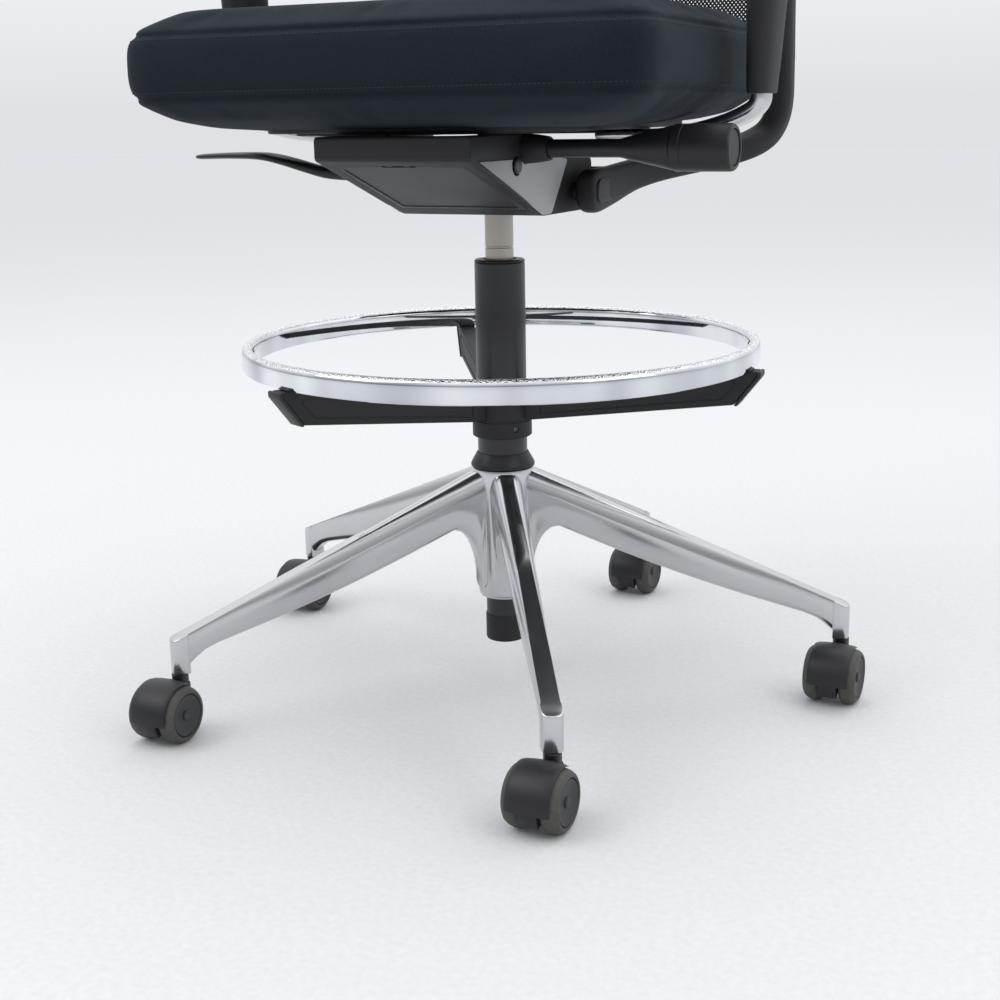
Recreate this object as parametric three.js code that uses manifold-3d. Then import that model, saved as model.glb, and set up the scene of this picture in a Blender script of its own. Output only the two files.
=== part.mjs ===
// Drafting chair: a five-star base on twin-wheel casters, a gas column with a foot ring clamped to it,
// a tilt mechanism, an upholstered seat, height-adjustable armrests and a mesh back.
// Millimetres, +Z up, the sitter faces -Y, origin on the floor under the column.
import * as THREE from 'three';
import { mergeVertices } from 'three/addons/utils/BufferGeometryUtils.js';
import Module from 'manifold-3d';

const wasm = await Module();
wasm.setup();

// ---- Driving dimensions ----
const GAP = 0.3; // between pieces that touch
const LEG_COUNT = 5;
const FIRST_LEG_DEG = 230.2;

const hub = { top: 225.5, bottom: 88, radius: 27, bore: 22.6 };
const tip = { stemRadius: 343.2, outer: 350.7, inner: 334.5, bottom: 59, top: 94, halfWidth: 9.6 };
const wheel = { radius: 27.5, inner: 9.8, outer: 26, trail: 24.5 };
const hood = { radius: 31, half: 20, from: 64, to: 186 };
const stem = { pin: 5.2, neck: 8, bottom: 34, neckBottom: 46.5, neckTop: 56.9, top: 84 };

const column = { bottom: 50, top: 431, radius: 25, stubRadius: 19.2, boreRadius: 17.5 };
const gas = { radius: 14, bottom: 92, top: 520, rodRadius: 4, rodTop: 300 };

const ring = { outer: 256.5, band: 12, bottom: 334, top: 356.5 };
const carrier = { bottom: 257, top: 310, radius: 30, armHalf: 9, firstArmDeg: 5 };
const clamp = { deg: 323, z: 267 };

const box = { half: 76.5, wall: 5, front: -210, rear: 60, top: 555.5, brow: 535, toe: -58, bottom: 480 };
const seatPivot = { y: -119, z: 528 };
const backPivot = { y: 21, z: 499 };
const knobAxis = { y: -100, z: 542 };
const lever = { y: -92, z: 519, tipX: -279, kinkX: -205 };

const seat = { half: 252, halfRear: 228, front: -263, rear: 192, frontCorner: 44, rearCorner: 92 };
const pan = { half: 162, front: -176, rear: 104, bottom: 557.8, top: 568 };
const arm = { x: 268, y: -20, postBottom: 586, postTop: 792, padZ: 848, padTop: 872 };
const back = { foot: 622, top: 1162, halfFoot: 216, halfTop: 203, y: 223, sweep: 84, tube: 13 };

// ---- Finishes: colour, roughness, metalness ----
const finishes = {
  polishedAluminium: [0xc8cbce, 0.2, 1],
  chrome: [0xe2e5e8, 0.06, 1],
  blackSteel: [0x242427, 0.45, 0.2],
  blackPlastic: [0x2b2b2e, 0.6, 0],
  greyPlate: [0x6e7073, 0.5, 0.1],
  cylinderSteel: [0x9a9188, 0.3, 1],
  tread: [0x46463f, 0.75, 0],
  fabric: [0x1c242e, 0.95, 0],
  mesh: [0x17181a, 0.9, 0],
  padFoam: [0x202023, 0.8, 0],
};

// ---- Helpers ----
const radians = (degrees) => (degrees * Math.PI) / 180;

function solid(geometry) {
  const bare = geometry.clone();
  bare.deleteAttribute('normal');
  bare.deleteAttribute('uv');
  const merged = mergeVertices(bare, 1e-3);
  const vertProperties = new Float32Array(merged.attributes.position.array);
  const triVerts = new Uint32Array(merged.index.array);
  const made = new wasm.Manifold(new wasm.Mesh({ numProp: 3, vertProperties, triVerts }));
  if (made.volume() > 0) return made;
  const turned = triVerts.map((_, i) => triVerts[i - (i % 3) + ((3 - (i % 3)) % 3)]);
  return new wasm.Manifold(new wasm.Mesh({ numProp: 3, vertProperties, triVerts: turned }));
}

const join = (first, ...others) => others.reduce((sum, other) => sum.add(other), first);
const cut = (first, ...others) => others.reduce((left, other) => left.subtract(other), first);

function meshOf(name, body, finish) {
  const data = body.getMesh();
  const geometry = new THREE.BufferGeometry();
  geometry.setAttribute('position', new THREE.BufferAttribute(data.vertProperties, data.numProp));
  geometry.setIndex(new THREE.BufferAttribute(data.triVerts, 1));
  geometry.computeVertexNormals();
  const [color, roughness, metalness] = finishes[finish];
  const material = new THREE.MeshStandardMaterial({ color, roughness, metalness, flatShading: true });
  const mesh = new THREE.Mesh(geometry, material);
  mesh.name = name;
  return mesh;
}

// A closed outline from [x, y, corner radius] points; a corner with no radius stays sharp.
function outline(points) {
  const shape = new THREE.Shape();
  points.forEach(([x, y, radius = 0], i) => {
    const here = new THREE.Vector2(x, y);
    const before = new THREE.Vector2(...points.at(i - 1));
    const after = new THREE.Vector2(...points[(i + 1) % points.length]);
    const enter = here.clone().add(before.sub(here).setLength(radius));
    const leave = here.clone().add(after.sub(here).setLength(radius));
    if (i === 0) shape.moveTo(enter.x, enter.y);
    else shape.lineTo(enter.x, enter.y);
    if (radius) shape.quadraticCurveTo(x, y, leave.x, leave.y);
  });
  shape.closePath();
  return shape;
}

const extrude = (shape, depth, curveSegments) =>
  new THREE.ExtrudeGeometry(shape, { depth, bevelEnabled: false, curveSegments });

// An outline in (y, z) made solid from x0 to x1.
function alongX(shape, x0, x1, curveSegments = 3) {
  const turn = new THREE.Matrix4().makeBasis(
    new THREE.Vector3(0, 1, 0),
    new THREE.Vector3(0, 0, 1),
    new THREE.Vector3(1, 0, 0),
  );
  return solid(extrude(shape, x1 - x0, curveSegments).applyMatrix4(turn).translate(x0, 0, 0));
}

// An outline in (x, z) made solid from y0 to y1.
const alongY = (shape, y0, y1, curveSegments = 3) =>
  solid(extrude(shape, y1 - y0, curveSegments).rotateX(Math.PI / 2).translate(0, y1, 0));

// An outline in (x, y) made solid from z0 to z1.
const alongZ = (shape, z0, z1, curveSegments = 3) =>
  solid(extrude(shape, z1 - z0, curveSegments).translate(0, 0, z0));

// A [radius, height] profile turned about Z. It starts and ends on the axis or closes on itself.
function turned(profile, segments = 24) {
  const points = profile.map(([r, z]) => new THREE.Vector2(r, z));
  return solid(new THREE.LatheGeometry(points, segments).rotateX(Math.PI / 2));
}

const rod = (radius, z0, z1, segments = 16) =>
  turned([[0, z0], [radius, z0], [radius, z1], [0, z1]], segments);

function tube(inner, outer, z0, z1, segments = 24) {
  return turned([[inner, z0], [outer, z0], [outer, z1], [inner, z1], [inner, z0]], segments);
}

// A round piece turned about an axis along X through (y, z).
const ontoX = (body, y, z) => body.rotate([0, 90, 0]).translate([0, y, z]);

// Equal rings of points joined into a closed skin.
function skin(rings) {
  const count = rings[0].length;
  const last = rings.length - 1;
  const positions = rings.flat().flatMap((p) => [p.x, p.y, p.z]);
  const index = [];
  for (let i = 0; i < last; i++) {
    for (let j = 0; j < count; j++) {
      const next = (j + 1) % count;
      const a = i * count + j;
      const b = i * count + next;
      index.push(a, b, b + count, a, b + count, a + count);
    }
  }
  for (let j = 1; j < count - 1; j++) {
    index.push(0, j + 1, j);
    index.push(last * count, last * count + j, last * count + j + 1);
  }
  const geometry = new THREE.BufferGeometry();
  geometry.setAttribute('position', new THREE.Float32BufferAttribute(positions, 3));
  geometry.setIndex(index);
  return solid(geometry);
}

// A bar through stations [x, y, z, half size sideways, half size upwards]. Sideways is square to the
// path and to `reference`; squareness 1 is an ellipse and smaller values are boxier.
function bar(stations, reference, sides = 12, squareness = 0.6) {
  const centres = stations.map(([x, y, z]) => new THREE.Vector3(x, y, z));
  const rings = stations.map(([, , , sideways, upwards], i) => {
    const from = centres[Math.max(i - 1, 0)];
    const to = centres[Math.min(i + 1, centres.length - 1)];
    const along = to.clone().sub(from).normalize();
    const side = new THREE.Vector3(...reference).cross(along).normalize();
    const up = along.clone().cross(side);
    return Array.from({ length: sides }, (_, k) => {
      const angle = ((k + 0.5) / sides) * 2 * Math.PI;
      const round = (value) => Math.sign(value) * Math.abs(value) ** squareness;
      return centres[i]
        .clone()
        .addScaledVector(side, sideways * round(Math.cos(angle)))
        .addScaledVector(up, upwards * round(Math.sin(angle)));
    });
  });
  return skin(rings);
}

const mirrored = (body) => body.mirror([1, 0, 0]);

// ---- Five-star base ----
const legTopAt = (r) => hub.top - 3.5 - ((r - 32) * (hub.top - 3.5 - tip.top)) / (tip.outer - 5 - 32);

// One leg along +X: [radius, underside height, half widths of top, shoulder and chin].
function leg() {
  const stations = [
    [12, 118, 5, 15, 12],
    [30, 138, 5.4, 16.5, 13],
    [40, 160, 5.6, 17, 13.5],
    [58, 164, 5.8, 16.5, 13],
    [95, 152, 6, 15.5, 12.5],
    [170, 126, 6.4, 13.5, 11],
    [250, 102, 7.2, 10.6, 9.4],
    [308, 83, 8, 9.6, 9],
    [322, 76, 8.4, 9.4, 9],
    [332, 66, 8.8, 9.4, 9],
  ];
  const rings = stations.map(([r, under, crest, shoulder, chin]) => {
    const top = Math.min(legTopAt(r), hub.top - 1);
    const fall = Math.min(0.28 * (top - under), 11);
    const right = [
      [crest, top],
      [shoulder, top - fall],
      [chin, under + 0.3 * fall],
      [chin * 0.55, under],
    ];
    const left = right.map(([y, z]) => [-y, z]).reverse();
    return [...right, ...left].map(([y, z]) => new THREE.Vector3(r, y, z));
  });
  const heel = outline([
    [tip.inner - 6, -tip.halfWidth],
    [tip.outer, -tip.halfWidth, 8],
    [tip.outer, tip.halfWidth, 8],
    [tip.inner - 6, tip.halfWidth],
  ]);
  const under = outline([
    [tip.inner - 8, legTopAt(tip.inner - 8)],
    [tip.outer + 2, legTopAt(tip.outer + 2)],
    [tip.outer + 2, tip.bottom - 1],
    [tip.inner, tip.bottom - 1],
    [tip.inner - 1, tip.bottom + 8],
    [tip.inner - 8, tip.bottom + 18],
  ]);
  const side = solid(extrude(under, 40, 3).rotateX(Math.PI / 2).translate(0, 20, 0));
  return join(skin(rings), alongZ(heel, tip.bottom, 100, 5).intersect(side));
}

function baseStar() {
  const socket = rod(stem.pin + GAP + 0.1, tip.bottom - 1, stem.top + 1, 12);
  const oneLeg = cut(leg(), socket.translate([tip.stemRadius, 0, 0]));
  let star = turned([[0, hub.bottom], [24.5, hub.bottom], [hub.radius, hub.bottom + 4],
    [hub.radius + 2, 165], [32, 200], [32.5, hub.top], [0, hub.top]], 30);
  for (let k = 0; k < LEG_COUNT; k++) {
    star = star.add(oneLeg.rotate([0, 0, FIRST_LEG_DEG + (360 / LEG_COUNT) * k]));
  }
  const bore = [[0, hub.bottom - 1], [20.2, hub.bottom - 1], [hub.bore, hub.top + 1], [0, hub.top + 1]];
  return cut(star, turned(bore));
}

// ---- Casters, built with the stem on the origin and the wheels trailing towards -Y ----
function casterStem() {
  return turned([[0, stem.bottom], [stem.pin, stem.bottom], [stem.pin, stem.neckBottom],
    [stem.neck, stem.neckBottom], [stem.neck, stem.neckTop], [stem.pin, stem.neckTop],
    [stem.pin, stem.top], [0, stem.top]], 12);
}

function casterHood() {
  const shell = new THREE.Shape();
  shell.absarc(-wheel.trail, wheel.radius, hood.radius, radians(hood.from), radians(hood.to), false);
  shell.absarc(-wheel.trail, wheel.radius, wheel.radius + 1.2, radians(hood.to), radians(hood.from), true);
  shell.closePath();
  const web = new THREE.Shape();
  web.absarc(-wheel.trail, wheel.radius, hood.radius - 0.5, radians(25), radians(215), false);
  web.closePath();
  const webHalf = wheel.inner - 1;
  const boss = rod(9.2, 22, 49, 12);
  const body = join(alongX(shell, -hood.half, hood.half, 7), alongX(web, -webHalf, webHalf, 7), boss);
  const well = turned([[0, stem.bottom - 1], [stem.pin + 0.6, stem.bottom - 1],
    [stem.pin + 0.6, stem.neckBottom - 0.4], [stem.neck + 0.6, stem.neckBottom - 0.4],
    [stem.neck + 0.6, 80], [0, 80]], 12);
  const axleHole = ontoX(rod(3.4, -30, 30, 10), -wheel.trail, wheel.radius);
  return cut(body, well, axleHole);
}

const casterAxle = () => ontoX(rod(3, -22.6, 22.6, 10), -wheel.trail, wheel.radius);

function casterWheel(sign) {
  const { radius: r, inner: a, outer: b } = wheel;
  const profile = [[0, b - 1.6], [r - 9, b - 1.6], [r - 7.5, b], [r - 3.5, b - 1.2], [r, b - 8], [r, a + 4],
    [r - 1.5, a], [3.5, a], [3.5, b - 3], [0, b - 3]];
  const placed = ontoX(turned(profile, 16), 0, 0);
  return (sign > 0 ? placed : mirrored(placed)).translate([0, -wheel.trail, r]);
}

function casters() {
  const group = new THREE.Group();
  for (let k = 0; k < LEG_COUNT; k++) {
    const angle = radians(FIRST_LEG_DEG + (360 / LEG_COUNT) * k);
    const one = new THREE.Group();
    one.position.set(tip.stemRadius * Math.cos(angle), tip.stemRadius * Math.sin(angle), 0);
    one.add(meshOf(`caster_${k + 1}_stem`, casterStem(), 'blackSteel'));
    one.add(meshOf(`caster_${k + 1}_hood`, casterHood(), 'blackPlastic'));
    one.add(meshOf(`caster_${k + 1}_axle`, casterAxle(), 'cylinderSteel'));
    one.add(meshOf(`caster_${k + 1}_wheel_left`, casterWheel(1), 'tread'));
    one.add(meshOf(`caster_${k + 1}_wheel_right`, casterWheel(-1), 'tread'));
    group.add(one);
  }
  return group;
}

// ---- Gas column ----
function columnTube() {
  const { bottom, top, radius, stubRadius, boreRadius } = column;
  const outside = turned([[0, bottom], [stubRadius, bottom], [stubRadius, hub.bottom],
    [hub.bore - 0.7, hub.top], [hub.bore - 0.7, hub.top + 2], [radius, hub.top + 2], [radius, top],
    [0, top]]);
  const inside = turned([[0, bottom + 5], [boreRadius, bottom + 5], [boreRadius, top - 36], [21, top - 36],
    [21, top + 1], [0, top + 1]], 24);
  return cut(outside, inside, rod(6, bottom - 1, bottom + 6, 12));
}

function columnBush() {
  const { top, radius } = column;
  return turned([[14.8, top - 34], [20.6, top - 34], [20.6, top + GAP], [radius, top + GAP],
    [radius, top + 1.5], [radius - 2, top + 3], [14.8, top + 3], [14.8, top - 34]]);
}

function columnParts() {
  const group = new THREE.Group();
  const { bottom, stubRadius } = column;
  const seal = [[25.4, hub.top + GAP + 1], [25.4, 240], [26.2, 240], [32.5, hub.top + 2.5],
    [32.5, hub.top + GAP], [22.2, hub.top + GAP], [22.2, hub.top + GAP + 1], [25.4, hub.top + GAP + 1]];
  const sealRing = cut(turned(seal), rod(21.9 + GAP, 200, hub.top + 1.4, 24));
  const cap = [[0, 40], [18.5, 40], [20.2, 41.5], [20.2, 68], [stubRadius + GAP, 68],
    [stubRadius + GAP, 43], [0, 43]];
  const spindle = [[0, 45], [gas.rodRadius, 45], [gas.rodRadius, 61.5], [9, 61.5], [9, 64],
    [gas.rodRadius, 64], [gas.rodRadius, gas.rodTop - 12], [11.3, gas.rodTop - 12], [11.3, gas.rodTop],
    [0, gas.rodTop]];
  const sleeve = [[0, gas.top], [gas.radius - 1, gas.top], [gas.radius, gas.top - 1],
    [gas.radius, gas.bottom + 1], [gas.radius - 1, gas.bottom], [4.8, gas.bottom], [4.8, gas.bottom + 8],
    [12, gas.bottom + 8], [12, gas.top - 30], [0, gas.top - 30]];
  const valveWell = rod(4.6, gas.top - 20, gas.top + 1, 12);
  group.add(meshOf('column_tube', columnTube(), 'blackSteel'));
  group.add(meshOf('column_seal_ring', sealRing, 'blackPlastic'));
  group.add(meshOf('column_bush', columnBush(), 'blackPlastic'));
  group.add(meshOf('column_end_cap', turned(cap), 'blackPlastic'));
  group.add(meshOf('thrust_bearing', tube(4.8, 15, bottom + 5.3, 61.2, 16), 'cylinderSteel'));
  group.add(meshOf('retaining_clip', tube(4.6, 9, bottom - 3.5, bottom - GAP, 12), 'cylinderSteel'));
  group.add(meshOf('piston_rod', turned(spindle, 14), 'cylinderSteel'));
  group.add(meshOf('pressure_tube', cut(turned(sleeve), valveWell), 'cylinderSteel'));
  group.add(meshOf('valve_button', rod(4, gas.top - 12, gas.top + 7, 10), 'blackPlastic'));
  return group;
}

// ---- Foot ring and its carrier ----
function footRing() {
  const { outer, band, bottom, top } = ring;
  const inner = outer - band;
  return turned([[inner, bottom + 2], [inner + 2, bottom], [outer - 2, bottom], [outer, bottom + 3],
    [outer, top - 5], [outer - 4, top], [inner + 4, top], [inner, top - 5], [inner, bottom + 2]], 48);
}

function ringCarrier() {
  const { bottom, top, radius, armHalf, firstArmDeg } = carrier;
  const seatZ = ring.bottom - GAP;
  const side = outline([[radius - 3, bottom + 15], [240, 300.7], [264, 330.5], [262, seatZ], [244, seatZ],
    [radius - 3, bottom + 48]]);
  const arm = alongY(side, -armHalf, armHalf);
  let body = turned([[0, bottom], [radius - 1, bottom], [radius, bottom + 1], [radius, top - 2],
    [radius - 2, top], [0, top]]);
  for (let k = 0; k < 3; k++) body = body.add(arm.rotate([0, 0, firstArmDeg + 120 * k]));
  const screwHole = ontoX(rod(3.4, 20, 40, 10), 0, clamp.z).rotate([0, 0, clamp.deg]);
  return cut(body, rod(column.radius + 0.5, bottom - 1, top + 1, 24), screwHole);
}

function clampScrew() {
  const shank = ontoX(rod(3, column.radius + 0.8, carrier.radius - 0.4, 10), 0, clamp.z);
  return cut(shank, ontoX(rod(1.7, 28, 31, 6), 0, clamp.z)).rotate([0, 0, clamp.deg]);
}

function footRest() {
  const group = new THREE.Group();
  group.add(meshOf('foot_ring', footRing(), 'chrome'));
  group.add(meshOf('ring_carrier', ringCarrier(), 'blackPlastic'));
  group.add(meshOf('clamp_screw', clampScrew(), 'cylinderSteel'));
  return group;
}

// ---- Tilt mechanism ----
const slope = Math.atan2(box.brow - box.bottom, box.toe - box.front);

// A piece drawn flat, laid on the sloping underside.
const onSlope = (body) => body.rotate([(-slope * 180) / Math.PI, 0, 0]).translate([0, box.front, box.brow]);

// The cover's plate on the sloping underside, grown by `extra` all round.
function coverPlate(extra, depth) {
  const half = box.half - 11 + extra;
  const low = 14 - extra;
  const high = 142 + extra;
  const plan = outline([[-half, low, 3], [half, low, 3], [half, high, 3], [-half, high, 3]]);
  return onSlope(alongZ(plan, -0.1, depth));
}

function mechanismHousing() {
  const { half, wall, front, rear, top, brow, toe, bottom } = box;
  const body = outline([[front, top], [front, brow], [toe, bottom], [rear - 8, bottom, 6], [rear, 500, 4],
    [rear, 528, 4], [36, 536], [-104, top]]);
  const hollow = outline([[front + wall, top + 5], [front + wall, brow + 4], [toe, bottom + wall + 1],
    [rear - wall, bottom + wall + 1], [rear - wall, top + 5]]);
  const cheek = outline([[front + 14, brow - 1], [toe, bottom - 1], [rear + 1, bottom - 1],
    [rear + 1, top], [0, top], [-30, brow - 1]]);
  let shell = alongX(body, -half, half);
  shell = cut(shell, alongX(hollow, -half + wall + 3.4, half - wall - 3.4));
  for (const sign of [1, -1]) {
    const recess = alongX(cheek, half - 3.3, half + 1);
    shell = cut(shell, sign > 0 ? recess : mirrored(recess));
  }
  const boss = rod(21, bottom + wall, gas.top - 8, 20);
  const flare = [[0, half - 12], [13, half - 12], [13, half + 4], [10.5, half + 24], [0, half + 24]];
  const collar = ontoX(turned(flare, 16), knobAxis.y, knobAxis.z);
  return cut(
    join(shell, boss, collar),
    rod(gas.radius + GAP, bottom - 1, gas.top + 1, 24),
    coverPlate(GAP, 3),
    ontoX(rod(8.8, half - 20, half + 30, 16), knobAxis.y, knobAxis.z),
    ontoX(rod(4.5, -half - 1, half + 1, 12), seatPivot.y, seatPivot.z),
    ontoX(rod(8.8, -half - 1, -half + 30, 12), lever.y, lever.z),
    ontoX(rod(9, -half - 1, half + 1, 16), backPivot.y, backPivot.z),
  );
}

function sidePlate(sign) {
  const { half } = box;
  const shape = outline([[-191, 533.4], [-60, 481.2], [-44, 481.5, 4], [-6, 530, 5], [-36, 533]]);
  const plate = alongX(shape, half - 3, half);
  const whole = sign > 0 ? plate : mirrored(plate);
  return cut(
    whole,
    ontoX(rod(4.5, -half - 1, half + 1, 12), seatPivot.y, seatPivot.z),
    ontoX(rod(8.8, -half - 1, -half + 30, 12), lever.y, lever.z),
    ontoX(rod(13.6, half - 20, half + 30, 16), knobAxis.y, knobAxis.z),
  );
}

function pivotPin() {
  const { half } = box;
  const head = 7.4;
  return ontoX(turned([[0, -half - 2.4], [head - 1, -half - 2.4], [head, -half - 1.4], [head, -half - GAP],
    [4, -half - GAP], [4, half + GAP], [head, half + GAP], [head, half + 1.4], [head - 1, half + 2.4],
    [0, half + 2.4]], 12), seatPivot.y, seatPivot.z);
}

function tiltSpring() {
  class Coil extends THREE.Curve {
    getPoint(t) {
      const angle = 2 * Math.PI * 4 * t;
      return new THREE.Vector3(35 + 9 * Math.cos(angle), -34 - 58 * t, 518 + 9 * Math.sin(angle));
    }
  }
  const wire = outline([[1.8, 0], [0.9, 1.56], [-0.9, 1.56], [-1.8, 0], [-0.9, -1.56], [0.9, -1.56]]);
  return solid(new THREE.ExtrudeGeometry(wire, { steps: 28, extrudePath: new Coil() }));
}

function heightLever() {
  const { y, z, tipX, kinkX } = lever;
  const blade = bar([[tipX, y - 6, z + 17, 9, 2.2], [tipX + 8, y - 6, z + 17.5, 15, 2.8],
    [kinkX, y - 5, z + 17.5, 17, 3.4], [-165, y - 2, z + 9, 14, 4.4], [-125, y, z, 9, 5.5],
    [-105, y, z, 5.6, 5.6], [-52, y, z, 5.6, 5.6]], [0, 0, 1], 8);
  const finger = bar([[-58, y, z + 1, 4, 5], [-40, y + 18, z + 6, 4, 5], [-12, -12, z + 14, 4.5, 4.5],
    [6, 5, z + 14, 5, 4.5]], [0, 0, 1], 8);
  return join(blade, finger);
}

function tensionShaft() {
  return ontoX(turned([[0, 54], [8, 54], [8, 168], [9.5, 172], [18.6, 214], [18.6, 216.7], [0, 216.7]], 16),
    knobAxis.y, knobAxis.z);
}

function tensionKnob() {
  return ontoX(turned([[0, 217], [19.2, 217], [20, 218], [20, 268], [18.5, 270], [16, 270], [15.4, 268.6],
    [0, 268.6]], 24), knobAxis.y, knobAxis.z);
}

function mechanism() {
  const group = new THREE.Group();
  group.add(meshOf('mechanism_housing', mechanismHousing(), 'blackPlastic'));
  const latch = outline([[-17, 10], [17, 10], [17, 17], [-17, 17]]);
  const cover = cut(coverPlate(0, 2.4), onSlope(alongZ(latch, -1, 1.6)));
  group.add(meshOf('mechanism_cover', cover, 'blackPlastic'));
  group.add(meshOf('side_plate_left', sidePlate(1), 'greyPlate'));
  group.add(meshOf('side_plate_right', sidePlate(-1), 'greyPlate'));
  group.add(meshOf('pivot_pin', pivotPin(), 'blackSteel'));
  group.add(meshOf('tilt_spring', tiltSpring(), 'cylinderSteel'));
  group.add(meshOf('height_lever', heightLever(), 'blackPlastic'));
  group.add(meshOf('tension_shaft', tensionShaft(), 'blackPlastic'));
  group.add(meshOf('tension_knob', tensionKnob(), 'blackPlastic'));
  return group;
}

// ---- Seat ----
// The seat's plan, drawn in by `inset`, at height z: it narrows a little towards the rounder rear.
function seatRing(inset, z) {
  const { half, halfRear, front, rear, frontCorner, rearCorner } = seat;
  const plan = outline([
    [half - inset, front + inset, Math.max(frontCorner - 0.3 * inset, 12)],
    [halfRear - inset, rear - inset, Math.max(rearCorner - 0.3 * inset, 12)],
    [inset - halfRear, rear - inset, Math.max(rearCorner - 0.3 * inset, 12)],
    [inset - half, front + inset, Math.max(frontCorner - 0.3 * inset, 12)],
  ]);
  return plan.getPoints(5).slice(0, -1).map(({ x, y }) => new THREE.Vector3(x, y, z));
}

function seatCushion() {
  const levels = [[110, 558], [60, 563], [24, 571], [7, 580], [0, 592], [0, 632], [6, 646], [20, 656],
    [52, 664], [95, 668]];
  const pad = skin(levels.map(([inset, z]) => seatRing(inset, z)));
  const pocket = outline([[-pan.half - 0.5, pan.front - 0.5, 40], [pan.half + 0.5, pan.front - 0.5, 40],
    [pan.half + 0.5, pan.rear + 0.5, 40], [-pan.half - 0.5, pan.rear + 0.5, 40]]);
  return cut(pad, alongZ(pocket, pan.bottom - 3, pan.top + 0.5));
}

function seatPan() {
  const { half, front, rear, bottom, top } = pan;
  const plan = outline([[-half, front, 40], [half, front, 40], [half, rear, 40], [-half, rear, 40]]);
  const ear = outline([[seatPivot.y - 12, bottom + 2], [seatPivot.y - 10, seatPivot.z - 9, 6],
    [seatPivot.y + 10, seatPivot.z - 9, 6], [seatPivot.y + 12, bottom + 2]]);
  const earPair = join(alongX(ear, 44, 50), alongX(ear, -50, -44));
  const pinHole = ontoX(rod(4.6, -80, 80, 12), seatPivot.y, seatPivot.z);
  return cut(join(alongZ(plan, bottom, top), earPair), pinHole);
}

// ---- Armrests, drawn on the +X side ----
function armBracket() {
  const { x, y, postBottom } = arm;
  return bar([[118, y, 552.2, 5, 17], [168, y, 552.2, 5, 17], [200, y, 555, 6, 17], [232, y, 561, 7.4, 17],
    [256, y, 570, 7.8, 16.5], [x, y, 579, 7.7, 16.5], [x, y, postBottom - GAP, 7.6, 16.5]],
  [0, 1, 0], 12, 0.75);
}

function armPost() {
  const { x, y, postBottom, postTop } = arm;
  const sleeve = bar([[x, y, postBottom, 11, 23], [x + 3, y, 665, 14, 31], [x + 5, y, 760, 15.5, 34],
    [x + 5, y, postTop, 15.5, 34]], [0, 1, 0], 14, 0.75);
  const bore = bar([[x + 4, y, 649, 10.2, 26.4], [x + 4, y, postTop + 5, 10.2, 26.4]], [0, 1, 0], 12, 0.75);
  return cut(sleeve, bore);
}

function armSlide() {
  const { x, y, padZ } = arm;
  const blade = bar([[x + 4, y, 688, 9.5, 25.7], [x + 4, y, padZ - 8, 9.5, 25.7]], [0, 1, 0], 12, 0.75);
  const table = outline([[x - 24, y - 62, 12], [x + 28, y - 62, 12], [x + 28, y + 56, 12],
    [x - 24, y + 56, 12]]);
  return join(blade, alongZ(table, padZ - 9, padZ));
}

function armPad() {
  const { x, y, padZ, padTop } = arm;
  const half = { x: 43, y: 122 };
  const sides = 20;
  const level = (inset, z) =>
    Array.from({ length: sides }, (_, k) => {
      const angle = ((k + 0.5) / sides) * 2 * Math.PI;
      const round = (value) => Math.sign(value) * Math.abs(value) ** 0.55;
      const outwards = (half.x - inset) * round(Math.cos(angle));
      const along = (half.y - inset) * round(Math.sin(angle));
      return new THREE.Vector3(x + outwards, y - 18 + along, z);
    });
  const levels = [[6, padZ + GAP], [0.5, padZ + 5], [0, padTop - 10], [4, padTop - 3], [13, padTop]];
  return skin(levels.map(([inset, z]) => level(inset, z)));
}

function upholstery() {
  const group = new THREE.Group();
  group.add(meshOf('seat_pan', seatPan(), 'blackPlastic'));
  group.add(meshOf('seat_cushion', seatCushion(), 'fabric'));
  const sides = { left: (body) => body, right: mirrored };
  for (const [side, place] of Object.entries(sides)) {
    group.add(meshOf(`arm_bracket_${side}`, place(armBracket()), 'polishedAluminium'));
    group.add(meshOf(`arm_post_${side}`, place(armPost()), 'blackPlastic'));
    group.add(meshOf(`arm_slide_${side}`, place(armSlide()), 'blackSteel'));
    group.add(meshOf(`arm_pad_${side}`, place(armPad()), 'padFoam'));
  }
  return group;
}

// ---- Back ----
const leanAt = (z) => back.y + back.sweep * Math.max((z - back.foot) / (back.top - back.foot), 0) ** 1.7;

function yokeArm() {
  const { y, z } = backPivot;
  const shoulder = [[90, y - 19, z, 12, 8], [90, y - 13, z, 18.5, 10], [90.5, y, z, 21, 11]];
  const reach = [[93, 60, 503, 18, 11], [100, 100, 510.5, 15, 11], [117, 137, 517.5, 13.5, 11.5],
    [148, 172, 524.5, 13, 12], [180, 198, 533, 12.6, 13], [203, 215, 545.5, 12.5, 13],
    [213.5, 221.5, 565, 12.5, 13]];
  const end = [[back.halfFoot, back.y, 592, 12.5, 13],
    [back.halfFoot, back.y, back.foot - 3 * GAP, 12.5, 13]];
  return bar([...shoulder, ...reach, ...end], [1, 0, 0], 10, 0.6);
}

function backYoke() {
  const bridge = alongX(outline([[92, 501, 4], [106, 501, 4], [106, 519, 4], [92, 519, 4]]), -97, 97);
  const stub = ontoX(rod(8.4, box.half - 6, 90, 16), backPivot.y, backPivot.z);
  const arm = join(yokeArm(), stub);
  return join(arm, mirrored(arm), bridge);
}

const frameHeights = [back.foot + 10, 700, 780, 860, 940, 1020, 1090];

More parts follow.
